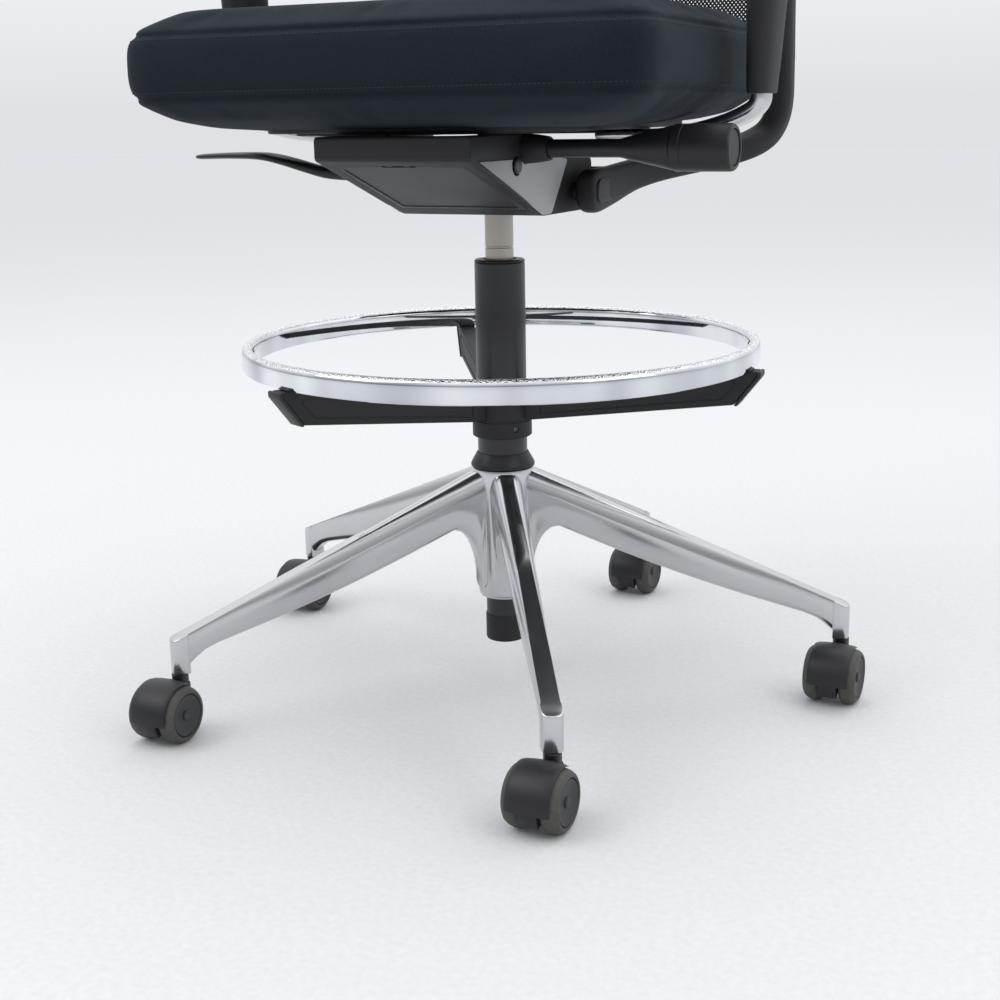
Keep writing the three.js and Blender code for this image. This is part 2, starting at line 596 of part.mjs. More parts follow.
function backFrame() {
  const { halfFoot, halfTop, foot, top, tube: size } = back;
  const widthAt = (z) => halfFoot + ((halfTop - halfFoot) * (z - foot)) / (top - foot);
  const rail = top - 11;
  const corner = [[halfTop, rail - 34], [halfTop - 10, rail - 13], [halfTop - 30, rail - 2],
    [halfTop - 60, rail]];
  const right = [[halfFoot, foot], ...frameHeights.map((z) => [widthAt(z), z]), ...corner];
  const path = [...right, ...right.map(([x, z]) => [-x, z]).reverse()];
  const thickAt = (z) => size - (z - foot) / 270;
  const loop = bar(path.map(([x, z]) => [x, leanAt(z), z, thickAt(z), thickAt(z)]), [0, 1, 0]);
  const sill = bar([[-205, leanAt(634), 634, 9, 8], [205, leanAt(634), 634, 9, 8]], [0, 1, 0]);
  return join(loop, sill);
}

function backMesh() {
  const { halfFoot, halfTop, tube: size, top } = back;
  const low = 645;
  const high = top - 24;
  const heights = [low - 5, ...frameHeights.filter((z) => z > low), high + 5];
  const sheet = outline([
    ...heights.map((z) => [leanAt(z) - 1.5, z]),
    ...heights.map((z) => [leanAt(z) + 1.5, z]).reverse(),
  ]);
  const edge = outline([[-halfFoot + size + 1, low], [halfFoot - size - 1, low],
    [halfTop - size - 0.5, high, 56], [-halfTop + size + 0.5, high, 56]]);
  return alongX(sheet, -halfFoot, halfFoot).intersect(alongY(edge, 150, 350));
}

function backrest() {
  const group = new THREE.Group();
  group.add(meshOf('back_yoke', backYoke(), 'blackPlastic'));
  group.add(meshOf('back_frame', backFrame(), 'blackPlastic'));
  group.add(meshOf('back_mesh', backMesh(), 'mesh'));
  return group;
}

// ---- Whole chair ----
const chair = new THREE.Group();
chair.add(meshOf('base_star', baseStar(), 'polishedAluminium'));
chair.add(casters(), columnParts(), footRest(), mechanism(), upholstery(), backrest());

export default chair;
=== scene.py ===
"""Looks of a drafting chair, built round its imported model, in metres.

Sizes in the classes are in millimetres.
"""

import logging
import math
from dataclasses import dataclass, field
from enum import Enum
from typing import Callable, Mapping, Sequence

import bmesh
import bpy
from mathutils import Matrix, Vector
from mathutils.bvhtree import BVHTree


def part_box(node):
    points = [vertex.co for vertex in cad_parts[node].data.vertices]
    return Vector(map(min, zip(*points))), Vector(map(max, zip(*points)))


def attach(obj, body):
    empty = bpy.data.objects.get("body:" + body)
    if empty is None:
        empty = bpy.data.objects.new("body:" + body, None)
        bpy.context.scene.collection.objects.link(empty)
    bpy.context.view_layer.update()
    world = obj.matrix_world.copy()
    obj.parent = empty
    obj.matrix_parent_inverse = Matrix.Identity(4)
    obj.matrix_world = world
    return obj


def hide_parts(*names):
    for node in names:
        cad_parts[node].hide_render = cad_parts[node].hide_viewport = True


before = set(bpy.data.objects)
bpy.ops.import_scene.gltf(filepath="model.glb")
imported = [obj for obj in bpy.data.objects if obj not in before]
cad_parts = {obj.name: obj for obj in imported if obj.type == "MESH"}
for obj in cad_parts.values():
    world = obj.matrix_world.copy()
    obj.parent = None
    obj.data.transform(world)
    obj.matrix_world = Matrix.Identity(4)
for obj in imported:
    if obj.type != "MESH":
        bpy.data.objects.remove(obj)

LOG = logging.getLogger("drafting_chair")
MM = 0.001
TURN = 2 * math.pi
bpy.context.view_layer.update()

Object = bpy.types.Object
Pair = tuple[float, float]
Point = Sequence[float]


# ---------------------------------------------------------------- shaping meshes


class Plane(Enum):
    """The plane in which an outline is drawn, named by its two directions."""

    XY = "xy"
    YZ = "yz"
    XZ = "xz"

    def at(self, u: float, v: float, off: float) -> Vector:
        """Returns the point (u, v) of this plane, moved off it by off."""
        if self is Plane.XY:
            return Vector((u, v, off))
        return Vector((off, u, v)) if self is Plane.YZ else Vector((u, off, v))


def clear_selection() -> None:
    """Leaves edit mode and deselects every object."""
    if bpy.context.object is not None and bpy.context.object.mode == "EDIT":
        bpy.ops.object.mode_set(mode="OBJECT")
    bpy.ops.object.select_all(action="DESELECT")


def pick(*pieces: Object) -> None:
    """Selects only these objects and makes the first one active.

    Args:
        pieces: the objects to select; the first one becomes active.
    """
    clear_selection()
    for piece in pieces:
        piece.select_set(True)
    bpy.context.view_layer.objects.active = pieces[0]


def rounded(corners: Sequence[Sequence[float]], steps: int = 5) -> list[Pair]:
    """Rounds the corners of an outline.

    Args:
        corners: (u, v) or (u, v, radius) for each corner, in order.
        steps: the number of short edges in each rounded corner.

    Returns:
        The points of the closed outline.
    """
    points: list[Pair] = []
    for i, corner in enumerate(corners):
        here = Vector(corner[:2])
        radius = corner[2] if len(corner) > 2 else 0.0
        if not radius:
            points.append((here.x, here.y))
            continue
        to_last = (Vector(corners[i - 1][:2]) - here).normalized() * radius
        to_next = (Vector(corners[(i + 1) % len(corners)][:2]) - here).normalized() * radius
        for k in range(steps + 1):
            t = k / steps
            spot = here + to_last * (1 - t) ** 2 + to_next * t**2
            points.append((spot.x, spot.y))
    return points


def block(x0: float, y0: float, x1: float, y1: float, radius: float) -> list[Point]:
    """The corners of a rectangle, all with the same radius."""
    return [(x0, y0, radius), (x1, y0, radius), (x1, y1, radius), (x0, y1, radius)]


def swell_at(offset: float, width: float) -> float:
    """The height of a soft ridge, 1 at its middle, at an offset from there."""
    return math.exp(-((offset / width) ** 2))


def flowing(stations: Sequence[Sequence[float]], steps: int = 4) -> list[list[float]]:
    """Puts smoothly curved stations between the given ones, which all stay.

    Args:
        stations: rows of numbers, such as a place and two half sizes.
        steps: the number of stretches between two given stations.

    Returns:
        The denser rows, from the first station to the last.
    """
    rows: list[list[float]] = []
    last = len(stations) - 1
    for i in range(last):
        p0, p1, p2, p3 = (stations[min(max(i + k, 0), last)] for k in (-1, 0, 1, 2))
        for k in range(steps):
            t = k / steps
            rows.append(
                [
                    0.5 * (
                        2 * b + (c - a) * t + (2 * a - 5 * b + 4 * c - d) * t**2
                        + (3 * b - a - 3 * c + d) * t**3
                    )
                    for a, b, c, d in zip(p0, p1, p2, p3)
                ]
            )
    rows.append(list(stations[last]))
    return rows


def ring(name: str, points: Sequence[Point]) -> Object:
    """Adds a circle and moves its corners on to a closed outline. It stays in edit mode, all selected.

    Args:
        name: the piece's name.
        points: the corners of the closed outline, in order.

    Returns:
        The new piece, still in edit mode.
    """
    clear_selection()
    bpy.ops.mesh.primitive_circle_add(vertices=len(points), radius=MM)
    piece = bpy.context.object
    piece.name = piece.data.name = name
    bpy.ops.object.mode_set(mode="EDIT")
    bpy.ops.mesh.select_all(action="SELECT")
    shape = bmesh.from_edit_mesh(piece.data)
    for vert, point in zip(shape.verts, points):
        vert.co = Vector(point) * MM
    bmesh.update_edit_mesh(piece.data)
    return piece


def seal(piece: Object) -> Object:
    """Merges doubles, drops loose edges, turns the faces outwards and leaves edit mode.

    Args:
        piece: the piece in edit mode.

    Returns:
        The same piece, in object mode.
    """
    bpy.ops.mesh.select_all(action="SELECT")
    bpy.ops.mesh.remove_doubles(threshold=2e-6)
    bpy.ops.mesh.delete_loose(use_verts=True, use_edges=True, use_faces=False)
    bpy.ops.mesh.select_all(action="SELECT")
    bpy.ops.mesh.normals_make_consistent(inside=False)
    bpy.ops.object.mode_set(mode="OBJECT")
    return piece


def prism(name: str, outline: Sequence[Pair], low: float, high: float, plane: Plane = Plane.XY) -> Object:
    """Fills a closed outline and extrudes it from low to high, square to its plane.

    Args:
        name: the piece's name.
        outline: the corners of the closed outline, in the plane's own axes.
        low: where the extrusion starts along the plane's normal.
        high: where it ends.
        plane: the plane the outline lies in.

    Returns:
        The closed piece.
    """
    piece = ring(name, [plane.at(u, v, low) for u, v in outline])
    bpy.ops.mesh.edge_face_add()
    bpy.ops.mesh.extrude_region_move(TRANSFORM_OT_translate={"value": plane.at(0, 0, high - low) * MM})
    return seal(piece)


def turned(
    name: str, profile: Sequence[Pair], steps: int = 64, angle: float = TURN, start: float = 0.0
) -> Object:
    """Turns a profile about the Z axis.

    Args:
        name: the piece's name.
        profile: (radius, height) points of a loop, or of a line that starts and ends on the axis.
        steps: the number of steps round the whole angle.
        angle: how far it turns, in radians.
        start: the angle at which it starts, in radians.

    Returns:
        The closed piece. A part turn has flat ends.
    """
    piece = ring(name, [(r * math.cos(start), r * math.sin(start), h) for r, h in profile])
    if angle < TURN:
        bpy.ops.mesh.edge_face_add()
    bpy.ops.mesh.spin(steps=steps, angle=angle, center=(0, 0, 0), axis=(0, 0, 1))
    return seal(piece)


def loft(name: str, rings: Sequence[Sequence[Point]]) -> Object:
    """Extrudes a closed ring from one outline to the next and caps both ends.

    Args:
        name: the piece's name.
        rings: outlines with equally many points, in order along the piece.

    Returns:
        The closed piece.
    """
    piece = ring(name, rings[0])
    bpy.ops.mesh.edge_face_add()
    shape = bmesh.from_edit_mesh(piece.data)
    order = list(range(len(rings[0])))
    total = len(order)
    for points in rings[1:]:
        bpy.ops.mesh.extrude_region_move()
        shape = bmesh.from_edit_mesh(piece.data)
        shape.verts.index_update()
        shape.verts.ensure_lookup_table()
        found = []
        for index in order:
            vert = shape.verts[index]
            others = (edge.other_vert(vert).index for edge in vert.link_edges)
            found.append(next(other for other in others if other >= total))
        order, total = found, len(shape.verts)
        for index, point in zip(order, points):
            shape.verts[index].co = Vector(point) * MM
        bmesh.update_edit_mesh(piece.data)
    return seal(piece)


def section(count: int, squareness: float) -> list[Pair]:
    """Points of a unit oval; squareness 1 is an ellipse and smaller values are boxier.

    Args:
        count: the number of points.
        squareness: 1 for an ellipse, smaller for a boxier oval.

    Returns:
        The points, counted round from the first axis.
    """
    points = []
    for k in range(count):
        angle = TURN * (k + 0.5) / count
        spot = (math.cos(angle), math.sin(angle))
        points.append(tuple(math.copysign(abs(value) ** squareness, value) for value in spot))
    return points


def sweep(
    name: str, stations: Sequence[Sequence[float]], reference: Point, count: int = 24,
    squareness: float = 0.6
) -> Object:
    """Makes a bar through stations.

    Args:
        name: the piece's name.
        stations: (x, y, z, half size sideways, half size upwards) rows.
        reference: sideways is square to the path and to this direction.
        count: points round the bar.
        squareness: 1 gives an ellipse, smaller values a boxier section.

    Returns:
        The closed bar.
    """
    centres = [Vector(row[:3]) for row in stations]
    rings = []
    for i, row in enumerate(stations):
        along = (centres[min(i + 1, len(centres) - 1)] - centres[max(i - 1, 0)]).normalized()
        side = Vector(reference).cross(along).normalized()
        up = along.cross(side)
        rings.append(
            [centres[i] + side * row[3] * u + up * row[4] * v for u, v in section(count, squareness)]
        )
    return loft(name, rings)


def placed(piece: Object, *steps: Matrix) -> Object:
    """Moves the piece's mesh by each matrix in turn, and leaves the object at the origin.

    Args:
        piece: the piece to move.
        steps: the matrices, first one first.

    Returns:
        The same piece.
    """
    for step in steps:
        piece.data.transform(step)
    piece.data.update()
    return piece


def shift(x: float, y: float, z: float) -> Matrix:
    """Returns a move in millimetres."""
    return Matrix.Translation(Vector((x, y, z)) * MM)


def spun(angle: float, axis: str = "Z") -> Matrix:
    """Returns a turn about an axis through the origin, in degrees."""
    return Matrix.Rotation(math.radians(angle), 4, axis)


ONTO_X = spun(90, "Y")


def twin(piece: Object, name: str, *steps: Matrix) -> Object:
    """Copies a piece with its own mesh and places the copy.

    Args:
        piece: the piece to copy.
        name: the copy's name.
        steps: the matrices that place the copy.

    Returns:
        The copy.
    """
    copy = piece.copy()
    copy.data = piece.data.copy()
    copy.name = copy.data.name = name
    bpy.context.scene.collection.objects.link(copy)
    return placed(copy, *steps)


def mirrored(piece: Object, name: str) -> Object:
    """Copies a piece to the other side of the chair's middle plane, faces still outwards.

    Args:
        piece: the piece to copy.
        name: the copy's name.

    Returns:
        The copy.
    """
    copy = twin(piece, name, Matrix.Diagonal((-1, 1, 1, 1)))
    copy.data.flip_normals()
    return copy


def modify(piece: Object, kind: str, **settings: object) -> Object:
    """Adds a modifier with these settings and applies it.

    Args:
        piece: the piece to change.
        kind: the modifier's type.
        settings: the modifier's settings.

    Returns:
        The same piece, with the modifier in its mesh.
    """
    pick(piece)
    modifier = piece.modifiers.new(kind.title(), kind)
    for key, value in settings.items():
        setattr(modifier, key, value)
    bpy.ops.object.modifier_apply(modifier=modifier.name)
    return piece


def soften(piece: Object, width: float, segments: int = 2, angle: float = 30) -> Object:
    """Bevels the edges that are sharper than angle degrees by width millimetres."""
    return modify(
        piece,
        "BEVEL",
        width=width * MM,
        segments=segments,
        limit_method="ANGLE",
        angle_limit=math.radians(angle),
        harden_normals=False,
        use_clamp_overlap=True,
    )


def combine(piece: Object, *others: Object, operation: str = "UNION") -> Object:
    """Joins others to the piece, or cuts them from it, and removes them."""
    for other in others:
        modify(piece, "BOOLEAN", operation=operation, solver="EXACT", object=other)
        bpy.data.objects.remove(other)
    return piece


def cut(piece: Object, *tools: Object) -> Object:
    """Cuts the tools from the piece and removes them."""
    return combine(piece, *tools, operation="DIFFERENCE")


def merged(name: str, pieces: Sequence[Object]) -> Object:
    """Makes one object of several that stay separate shells.

    Args:
        name: the name of the joined piece.
        pieces: the pieces to join.

    Returns:
        The joined piece.
    """
    pick(*pieces)
    if len(pieces) > 1:
        bpy.ops.object.join()
    piece = bpy.context.object
    piece.name = piece.data.name = name
    return piece


def smooth(piece: Object, angle: float = 32) -> Object:
    """Shades smoothly across edges that are flatter than angle degrees.

    Args:
        piece: the piece to shade.
        angle: the sharpest angle that is still smooth, in degrees.

    Returns:
        The same piece.
    """
    pick(piece)
    bpy.ops.object.shade_smooth_by_angle(angle=math.radians(angle))
    return piece


def screw_head(name: str, radius: float, height: float, socket: float) -> Object:
    """A domed screw head on the origin that looks along +Z, with a hexagon socket.

    Args:
        name: the piece's name.
        radius: the head's radius.
        height: the head's height.
        socket: how far the socket's corners are from its middle.

    Returns:
        The closed head.
    """
    dome = [
        (0, -1), (radius, -1), (radius, 0.35 * height), (0.9 * radius, 0.75 * height),
        (0.62 * radius, height), (0, height)
    ]
    key = prism(
        "key", [(socket * math.cos(k * TURN / 6), socket * math.sin(k * TURN / 6)) for k in range(6)],
        0.3, 9
    )
    return cut(turned(name, dome, 28), key)


# ---------------------------------------------------------------- shading


class Value:
    """A node's output that does sums by adding Math nodes."""

    def __init__(self, graph: "Graph", socket: bpy.types.NodeSocket) -> None:
        """Wraps one output socket of a graph."""
        self.graph = graph
        self.socket = socket

    def _sum(self, operation: str, *terms: object) -> "Value":
        """Adds a Math node on these terms."""
        return self.graph.node("ShaderNodeMath", {"operation": operation}, dict(enumerate(terms)))

    def __add__(self, other: object) -> "Value":
        """Sum."""
        return self._sum("ADD", self, other)

    __radd__ = __add__

    def __sub__(self, other: object) -> "Value":
        """Difference."""
        return self._sum("SUBTRACT", self, other)

    def __rsub__(self, other: object) -> "Value":
        """Difference from a number."""
        return self._sum("SUBTRACT", other, self)

    def __mul__(self, other: object) -> "Value":
        """Product."""
        return self._sum("MULTIPLY", self, other)

    __rmul__ = __mul__

    def __truediv__(self, other: object) -> "Value":
        """Quotient."""
        return self._sum("DIVIDE", self, other)

    def __pow__(self, other: object) -> "Value":
        """Power."""
        return self._sum("POWER", self, other)

    def __abs__(self) -> "Value":
        """Size without sign."""
        return self._sum("ABSOLUTE", self)

    def sine(self) -> "Value":
        """Sine of an angle in radians."""
        return self._sum("SINE", self)

    def clamped(self) -> "Value":
        """The value kept between 0 and 1."""
        return self.graph.node("ShaderNodeClamp", None, {"Value": self})


class Graph:
    """The node tree of a material or of the surroundings, and the shader that it feeds."""

    def __init__(self, owner: bpy.types.Material | bpy.types.World, shader: str) -> None:
        """Turns the owner's nodes on and finds its shader by name.

        Args:
            owner: the material or world.
            shader: the name of its shader node.
        """
        owner.use_nodes = True
        self.tree = owner.node_tree
        self.shader = self.tree.nodes[shader]

    def node(
        self,
        kind: str,
        settings: Mapping[str, object] | None = None,
        sockets: Mapping[str | int, object] | None = None,
        out: str | int = 0,
    ) -> Value:
        """Adds a node.

        Args:
            kind: the node's type.
            settings: its properties; "stops" are a colour ramp's (position, colour) pairs.
            sockets: a value or a link for each of its inputs.
            out: the output that is returned.

        Returns:
            The output, ready for sums.
        """
        made = self.tree.nodes.new(kind)
        for key, value in (settings or {}).items():
            if key == "stops":
                for spot, (place, colour) in zip(self._stops(made, len(value)), value):
                    spot.position, spot.color = place, (*colour, 1)
            else:
                setattr(made, key, value)
        for key, value in (sockets or {}).items():
            if isinstance(value, Value):
                self.tree.links.new(value.socket, made.inputs[key])
            else:
                made.inputs[key].default_value = value
        return Value(self, made.outputs[out])

    @staticmethod
    def _stops(ramp: bpy.types.Node, count: int) -> list[bpy.types.ColorRampElement]:
        """Returns count stops of a ramp, adding those it lacks.

        Args:
            ramp: the colour ramp node.
            count: the number of stops it needs.

        Returns:
            The ramp's stops, in order.
        """
        elements = ramp.color_ramp.elements
        while len(elements) < count:
            elements.new(0.5)
        return list(elements)

    def place(self) -> Value:
        """The place on the piece, in metres."""
        return self.node("ShaderNodeTexCoord", None, None, "Object")

    def facing(self) -> Value:
        """The direction that the surface faces, on the piece's own axes."""
        return self.node("ShaderNodeTexCoord", None, None, "Normal")

    def axes(self, vector: Value) -> list[Value]:
        """Splits a vector into its three numbers."""
        split = self.node("ShaderNodeSeparateXYZ", None, {0: vector}).socket.node
        return [Value(self, output) for output in split.outputs]

    def scaled(self, vector: Value, scale: Point) -> Value:
        """Scales a vector by three factors."""
        return self.node("ShaderNodeMapping", None, {"Vector": vector, "Scale": tuple(scale)})

    def noise(self, vector: Value, scale: float, detail: float = 2.0) -> Value:
        """Soft noise between 0 and 1, with scale features a metre."""
        return self.node("ShaderNodeTexNoise", None, {"Vector": vector, "Scale": scale, "Detail": detail})

    def blend(self, factor: Value, low: Point, high: Point) -> Value:
        """Mixes two colours."""
        ends = {"Factor": factor, 6: (*low, 1), 7: (*high, 1)}
        return self.node("ShaderNodeMix", {"data_type": "RGBA"}, ends, 2)

    def bump(self, height: Value, depth: float, strength: float = 1.0) -> Value:
        """A normal that follows a height of 0 to 1, depth millimetres deep."""
        return self.node(
            "ShaderNodeBump", None, {"Height": height, "Distance": depth * MM, "Strength": strength}
        )

    def set(self, **sockets: object) -> None:
        """Sets inputs of the shader, with underscores for the spaces in their names."""
        for key, value in sockets.items():
            socket = self.shader.inputs[key.replace("_", " ")]
            if isinstance(value, Value):
                self.tree.links.new(value.socket, socket)
            else:
                socket.default_value = value


@dataclass(frozen=True)
class Finish:
    """A material with a name; each kind of finish paints it in its own way."""

    name: str

    def paint(self, g: Graph) -> None:
        """Fills the graph."""
        raise NotImplementedError

    def material(self) -> bpy.types.Material:
        """Returns the one material of this finish, made at first use.

        Returns:
            The finish's material.
        """
        found = bpy.data.materials.get(self.name)
        if found is None:
            found = bpy.data.materials.new(self.name)
            self.paint(Graph(found, "Principled BSDF"))
        return found


@dataclass(frozen=True)
class CastPolish(Finish):
    """Die-cast aluminium, polished: soft clouds, fine scratches and a grain along the polishing."""

    bright: Point = (0.6, 0.605, 0.615)
    dull: Point = (0.54, 0.548, 0.562)
    gloss: float = 0.15

    def paint(self, g: Graph) -> None:
        """Mixes clouds and scratches into colour, roughness and bump.

        Args:
            g: the material's node graph.
        """
        place = g.place()
        cloud = g.noise(place, 12, 2)
        scratch = g.noise(g.scaled(place, (1, 1, 0.12)), 1400, 2)
        fine = g.noise(place, 2600, 1)
        g.set(Base_Color=g.blend(cloud, self.bright, self.dull), Metallic=1.0)
        g.set(Roughness=self.gloss + cloud * 0.05 + scratch * 0.05)
        g.set(Normal=g.bump(scratch * 0.6 + fine * 0.4, 0.008, 0.2))


@dataclass(frozen=True)
class Chrome(Finish):
    """Bright plating with a faint haze."""

    def paint(self, g: Graph) -> None:
        """Varies the haze slowly.

        Args:
            g: the material's node graph.
        """
        haze = g.noise(g.scaled(g.place(), (1, 1, 0.05)), 16, 1)
        g.set(
            Base_Color=g.blend((haze * 3.2 - 1.1).clamped(), (0.84, 0.855, 0.88), (0.5, 0.52, 0.56)),
            Metallic=1.0
        )
        g.set(Roughness=0.03 + haze * 0.05, Normal=g.bump(g.noise(g.place(), 45, 1), 0.05, 0.12))


@dataclass(frozen=True)
class Tread(Finish):
    """The knurled, sparkling grip on the foot ring's top."""

    def paint(self, g: Graph) -> None:
        """Small facets that each shine their own way.

        Args:
            g: the material's node graph.
        """
        grain = g.node("ShaderNodeTexVoronoi", None, {"Vector": g.place(), "Scale": 620.0}, "Color")
        height = g.node("ShaderNodeTexVoronoi", None, {"Vector": g.place(), "Scale": 620.0}, "Distance")
        glint = g.axes(grain)[0]
        g.set(Base_Color=g.blend(glint, (0.55, 0.56, 0.57), (0.95, 0.95, 0.95)), Metallic=1.0)
        g.set(Roughness=0.12 + glint * 0.4, Normal=g.bump(height + glint * 0.5, 0.7, 0.8))


@dataclass(frozen=True)
class Moulded(Finish):
    """Moulded plastic with a spark-eroded grain."""

    colour: Point
    worn: Point
    rough: float = 0.5
    grain: float = 1100
    depth: float = 0.06

    def paint(self, g: Graph) -> None:
        """Grain in the bump, patches in the roughness, a slightly lighter handled tone.

        Args:
            g: the material's node graph.
        """
        place = g.place()
        grain = g.noise(place, self.grain, 2)
        patch = g.noise(place, 14, 3)
        g.set(Base_Color=g.blend((patch * 1.6 - 0.5).clamped(), self.colour, self.worn))
        g.set(Roughness=self.rough - 0.06 + patch * 0.14 + grain * 0.08)
        g.set(Normal=g.bump(grain, self.depth, 0.5), Specular_IOR_Level=0.38)


@dataclass(frozen=True)
class PowderCoat(Finish):
    """Powder-coated steel with an orange-peel surface."""

    colour: Point = (0.009, 0.009, 0.0105)
    rough: float = 0.34

    def paint(self, g: Graph) -> None:
        """Orange peel in the bump and soft patches in the gloss.

        Args:
            g: the material's node graph.
        """
        place = g.place()
        peel = g.noise(place, 420, 1)
        patch = g.noise(place, 12, 2)
        lighter = [channel * 1.5 for channel in self.colour]
        g.set(Base_Color=g.blend(patch, self.colour, lighter), Roughness=self.rough + patch * 0.12)
        g.set(Normal=g.bump(peel, 0.05, 0.4), Coat_Weight=0.15, Coat_Roughness=0.2)


@dataclass(frozen=True)
class GroundSteel(Finish):
    """Ground or drawn steel with fine lines round its axis."""

    colour: Point
    rough: float = 0.26

    def paint(self, g: Graph) -> None:
        """Lines that are long across and short along Z.

        Args:
            g: the material's node graph.
        """
        place = g.place()
        lines = g.noise(g.scaled(place, (0.04, 0.04, 1)), 2600, 2)
        patch = g.noise(place, 40, 2)
        darker = [channel * 0.8 for channel in self.colour]
        g.set(Base_Color=g.blend(patch, self.colour, darker), Metallic=1.0)
        g.set(Roughness=self.rough + lines * 0.12, Normal=g.bump(lines, 0.02, 0.4))


@dataclass(frozen=True)
class Polyurethane(Finish):
    """The soft tread of a caster wheel, a little dusty."""

    colour: Point = (0.052, 0.052, 0.044)

    def paint(self, g: Graph) -> None:
        """Dust in patches and a matt skin.

        Args:
            g: the material's node graph.
        """
        place = g.place()
        dust = (g.noise(place, 160, 4) * 2.2 - 0.9).clamped()
        g.set(Base_Color=g.blend(dust, self.colour, (0.085, 0.085, 0.078)), Roughness=0.55 + dust * 0.3)
        g.set(Normal=g.bump(g.noise(place, 900, 2), 0.05, 0.35))


@dataclass(frozen=True)
class Woven(Finish):
    """Upholstery cloth in a plain weave, drawn on whichever axes the surface faces."""

    dark: Point = (0.002, 0.0048, 0.0082)
    light: Point = (0.0088, 0.0165, 0.0252)
    pitch: float = 1.25

    def paint(self, g: Graph) -> None:
        """Weave from crossed threads, with slubs, melange and a soft sheen.

        Args:
            g: the material's node graph.
        """
        place = g.place()
        turns = [axis * (TURN / (self.pitch * MM)) for axis in g.axes(place)]
        waves = [turn.sine() for turn in turns]
        weights = [abs(axis) ** 4 for axis in g.axes(g.facing())]
        crossings = [waves[1] * waves[2], waves[0] * waves[2], waves[0] * waves[1]]
        total = weights[0] + weights[1] + weights[2]
        weave = sum((w * c for w, c in zip(weights, crossings)), 0.0) / total
        thread = (weave * 0.5 + 0.5).clamped()
        slub = g.noise(place, 420, 3)
        cloud = g.noise(place, 9, 3)
        tone = (thread * 0.4 + slub * 0.75 + cloud * 0.3 - 0.22).clamped()
        g.set(Base_Color=g.blend(tone, self.dark, self.light), Roughness=0.8 + thread * 0.15)
        g.set(Normal=g.bump(thread + slub * 0.5, 0.35, 0.55))
        g.set(Specular_IOR_Level=0.25, Sheen_Weight=0.05, Sheen_Roughness=0.4)
        g.set(Sheen_Tint=(0.55, 0.72, 0.9, 1))


@dataclass(frozen=True)
class Thread(Finish):
    """Twisted sewing thread."""

    colour: Point = (0.006, 0.01, 0.014)

    def paint(self, g: Graph) -> None:
        """A twist in the bump.

        Args:
            g: the material's node graph.
        """
        twist = g.noise(g.place(), 2400, 1)
        g.set(Base_Color=g.blend(twist, self.colour, (0.018, 0.026, 0.034)), Roughness=0.8)
        g.set(Normal=g.bump(twist, 0.1, 0.6))


@dataclass(frozen=True)
class OpenKnit(Finish):
    """Stretched net: round openings in staggered rows, on the piece's UV map in metres."""

    across: float = 4.2
    along: float = 5.0

    def paint(self, g: Graph) -> None:
        """Openings in the alpha, ridges along the yarn in the bump.

        Args:
            g: the material's node graph.
        """
        u, v, _ = g.axes(g.node("ShaderNodeUVMap", {"uv_map": "cloth"}))
        first = (u / (self.across * MM) + v / (self.along * MM)) * math.pi
        second = (u / (self.across * MM) - v / (self.along * MM)) * math.pi
        open_part = abs(first.sine() * second.sine())
        yarn = 1 - open_part
        fibre = g.noise(g.place(), 1800, 2)
        g.set(Alpha=((yarn - 0.16) * 9).clamped(), Roughness=0.72 + fibre * 0.15)
        g.set(Base_Color=g.blend(fibre * yarn, (0.004, 0.0045, 0.005), (0.016, 0.017, 0.0195)))
        g.set(Normal=g.bump(yarn + fibre * 0.3, 0.4, 0.7), Specular_IOR_Level=0.3)


@dataclass(frozen=True)
class SoftSkin(Finish):
    """The soft moulded skin of an arm pad, with a leather-like grain."""

    colour: Point = (0.017, 0.017, 0.019)

    def paint(self, g: Graph) -> None:
        """Cells of grain, and a slight polish where it is handled.

        Args:
            g: the material's node graph.
        """
        place = g.place()
        cells = g.node(
            "ShaderNodeTexVoronoi", {"feature": "DISTANCE_TO_EDGE"}, {"Vector": place, "Scale": 520.0}
        )
        grain = (cells * 5).clamped()
        patch = g.noise(place, 25, 2)
        g.set(Base_Color=g.blend(patch, self.colour, (0.03, 0.03, 0.032)), Roughness=0.5 + patch * 0.18)
        g.set(Normal=g.bump(grain, 0.09, 0.6), Specular_IOR_Level=0.4)


@dataclass(frozen=True)
class PaleFloor(Finish):
    """A plain pale floor."""

    def paint(self, g: Graph) -> None:
        """Barely varied pale grey.

        Args:
            g: the material's node graph.
        """
        speck = g.noise(g.place(), 160, 4)
        g.set(Base_Color=g.blend(speck, (0.6, 0.605, 0.62), (0.72, 0.725, 0.735)), Roughness=0.85)
        g.set(Specular_IOR_Level=0.2)


CAST = CastPolish("polished_cast_aluminium")
PLATING = Chrome("bright_chrome")
GRIP = Tread("sparkling_grip")
BLACK = Moulded("grained_black_plastic", (0.0105, 0.0105, 0.0115), (0.017, 0.017, 0.0185))
INSET = Moulded("dark_grey_panel", (0.018, 0.018, 0.0195), (0.026, 0.026, 0.028), 0.44)
HANDLE = Moulded("smooth_black_plastic", (0.011, 0.011, 0.012), (0.018, 0.018, 0.019), 0.36, 700, 0.03)
PLATE = Moulded("satin_grey_plate", (0.36, 0.366, 0.374), (0.42, 0.426, 0.433), 0.36, 900, 0.02)
HOOD = Moulded("satin_black_hood", (0.014, 0.014, 0.0155), (0.022, 0.022, 0.024), 0.38, 900, 0.04)
DISC = Moulded("dark_grey_disc", (0.03, 0.03, 0.032), (0.045, 0.045, 0.047), 0.48)
STEEL = PowderCoat("black_powder_coat")
CYLINDER = GroundSteel("warm_ground_steel", (0.46, 0.42, 0.38))
DARK_SCREW = GroundSteel("dark_screw_steel", (0.1, 0.1, 0.105), 0.36)
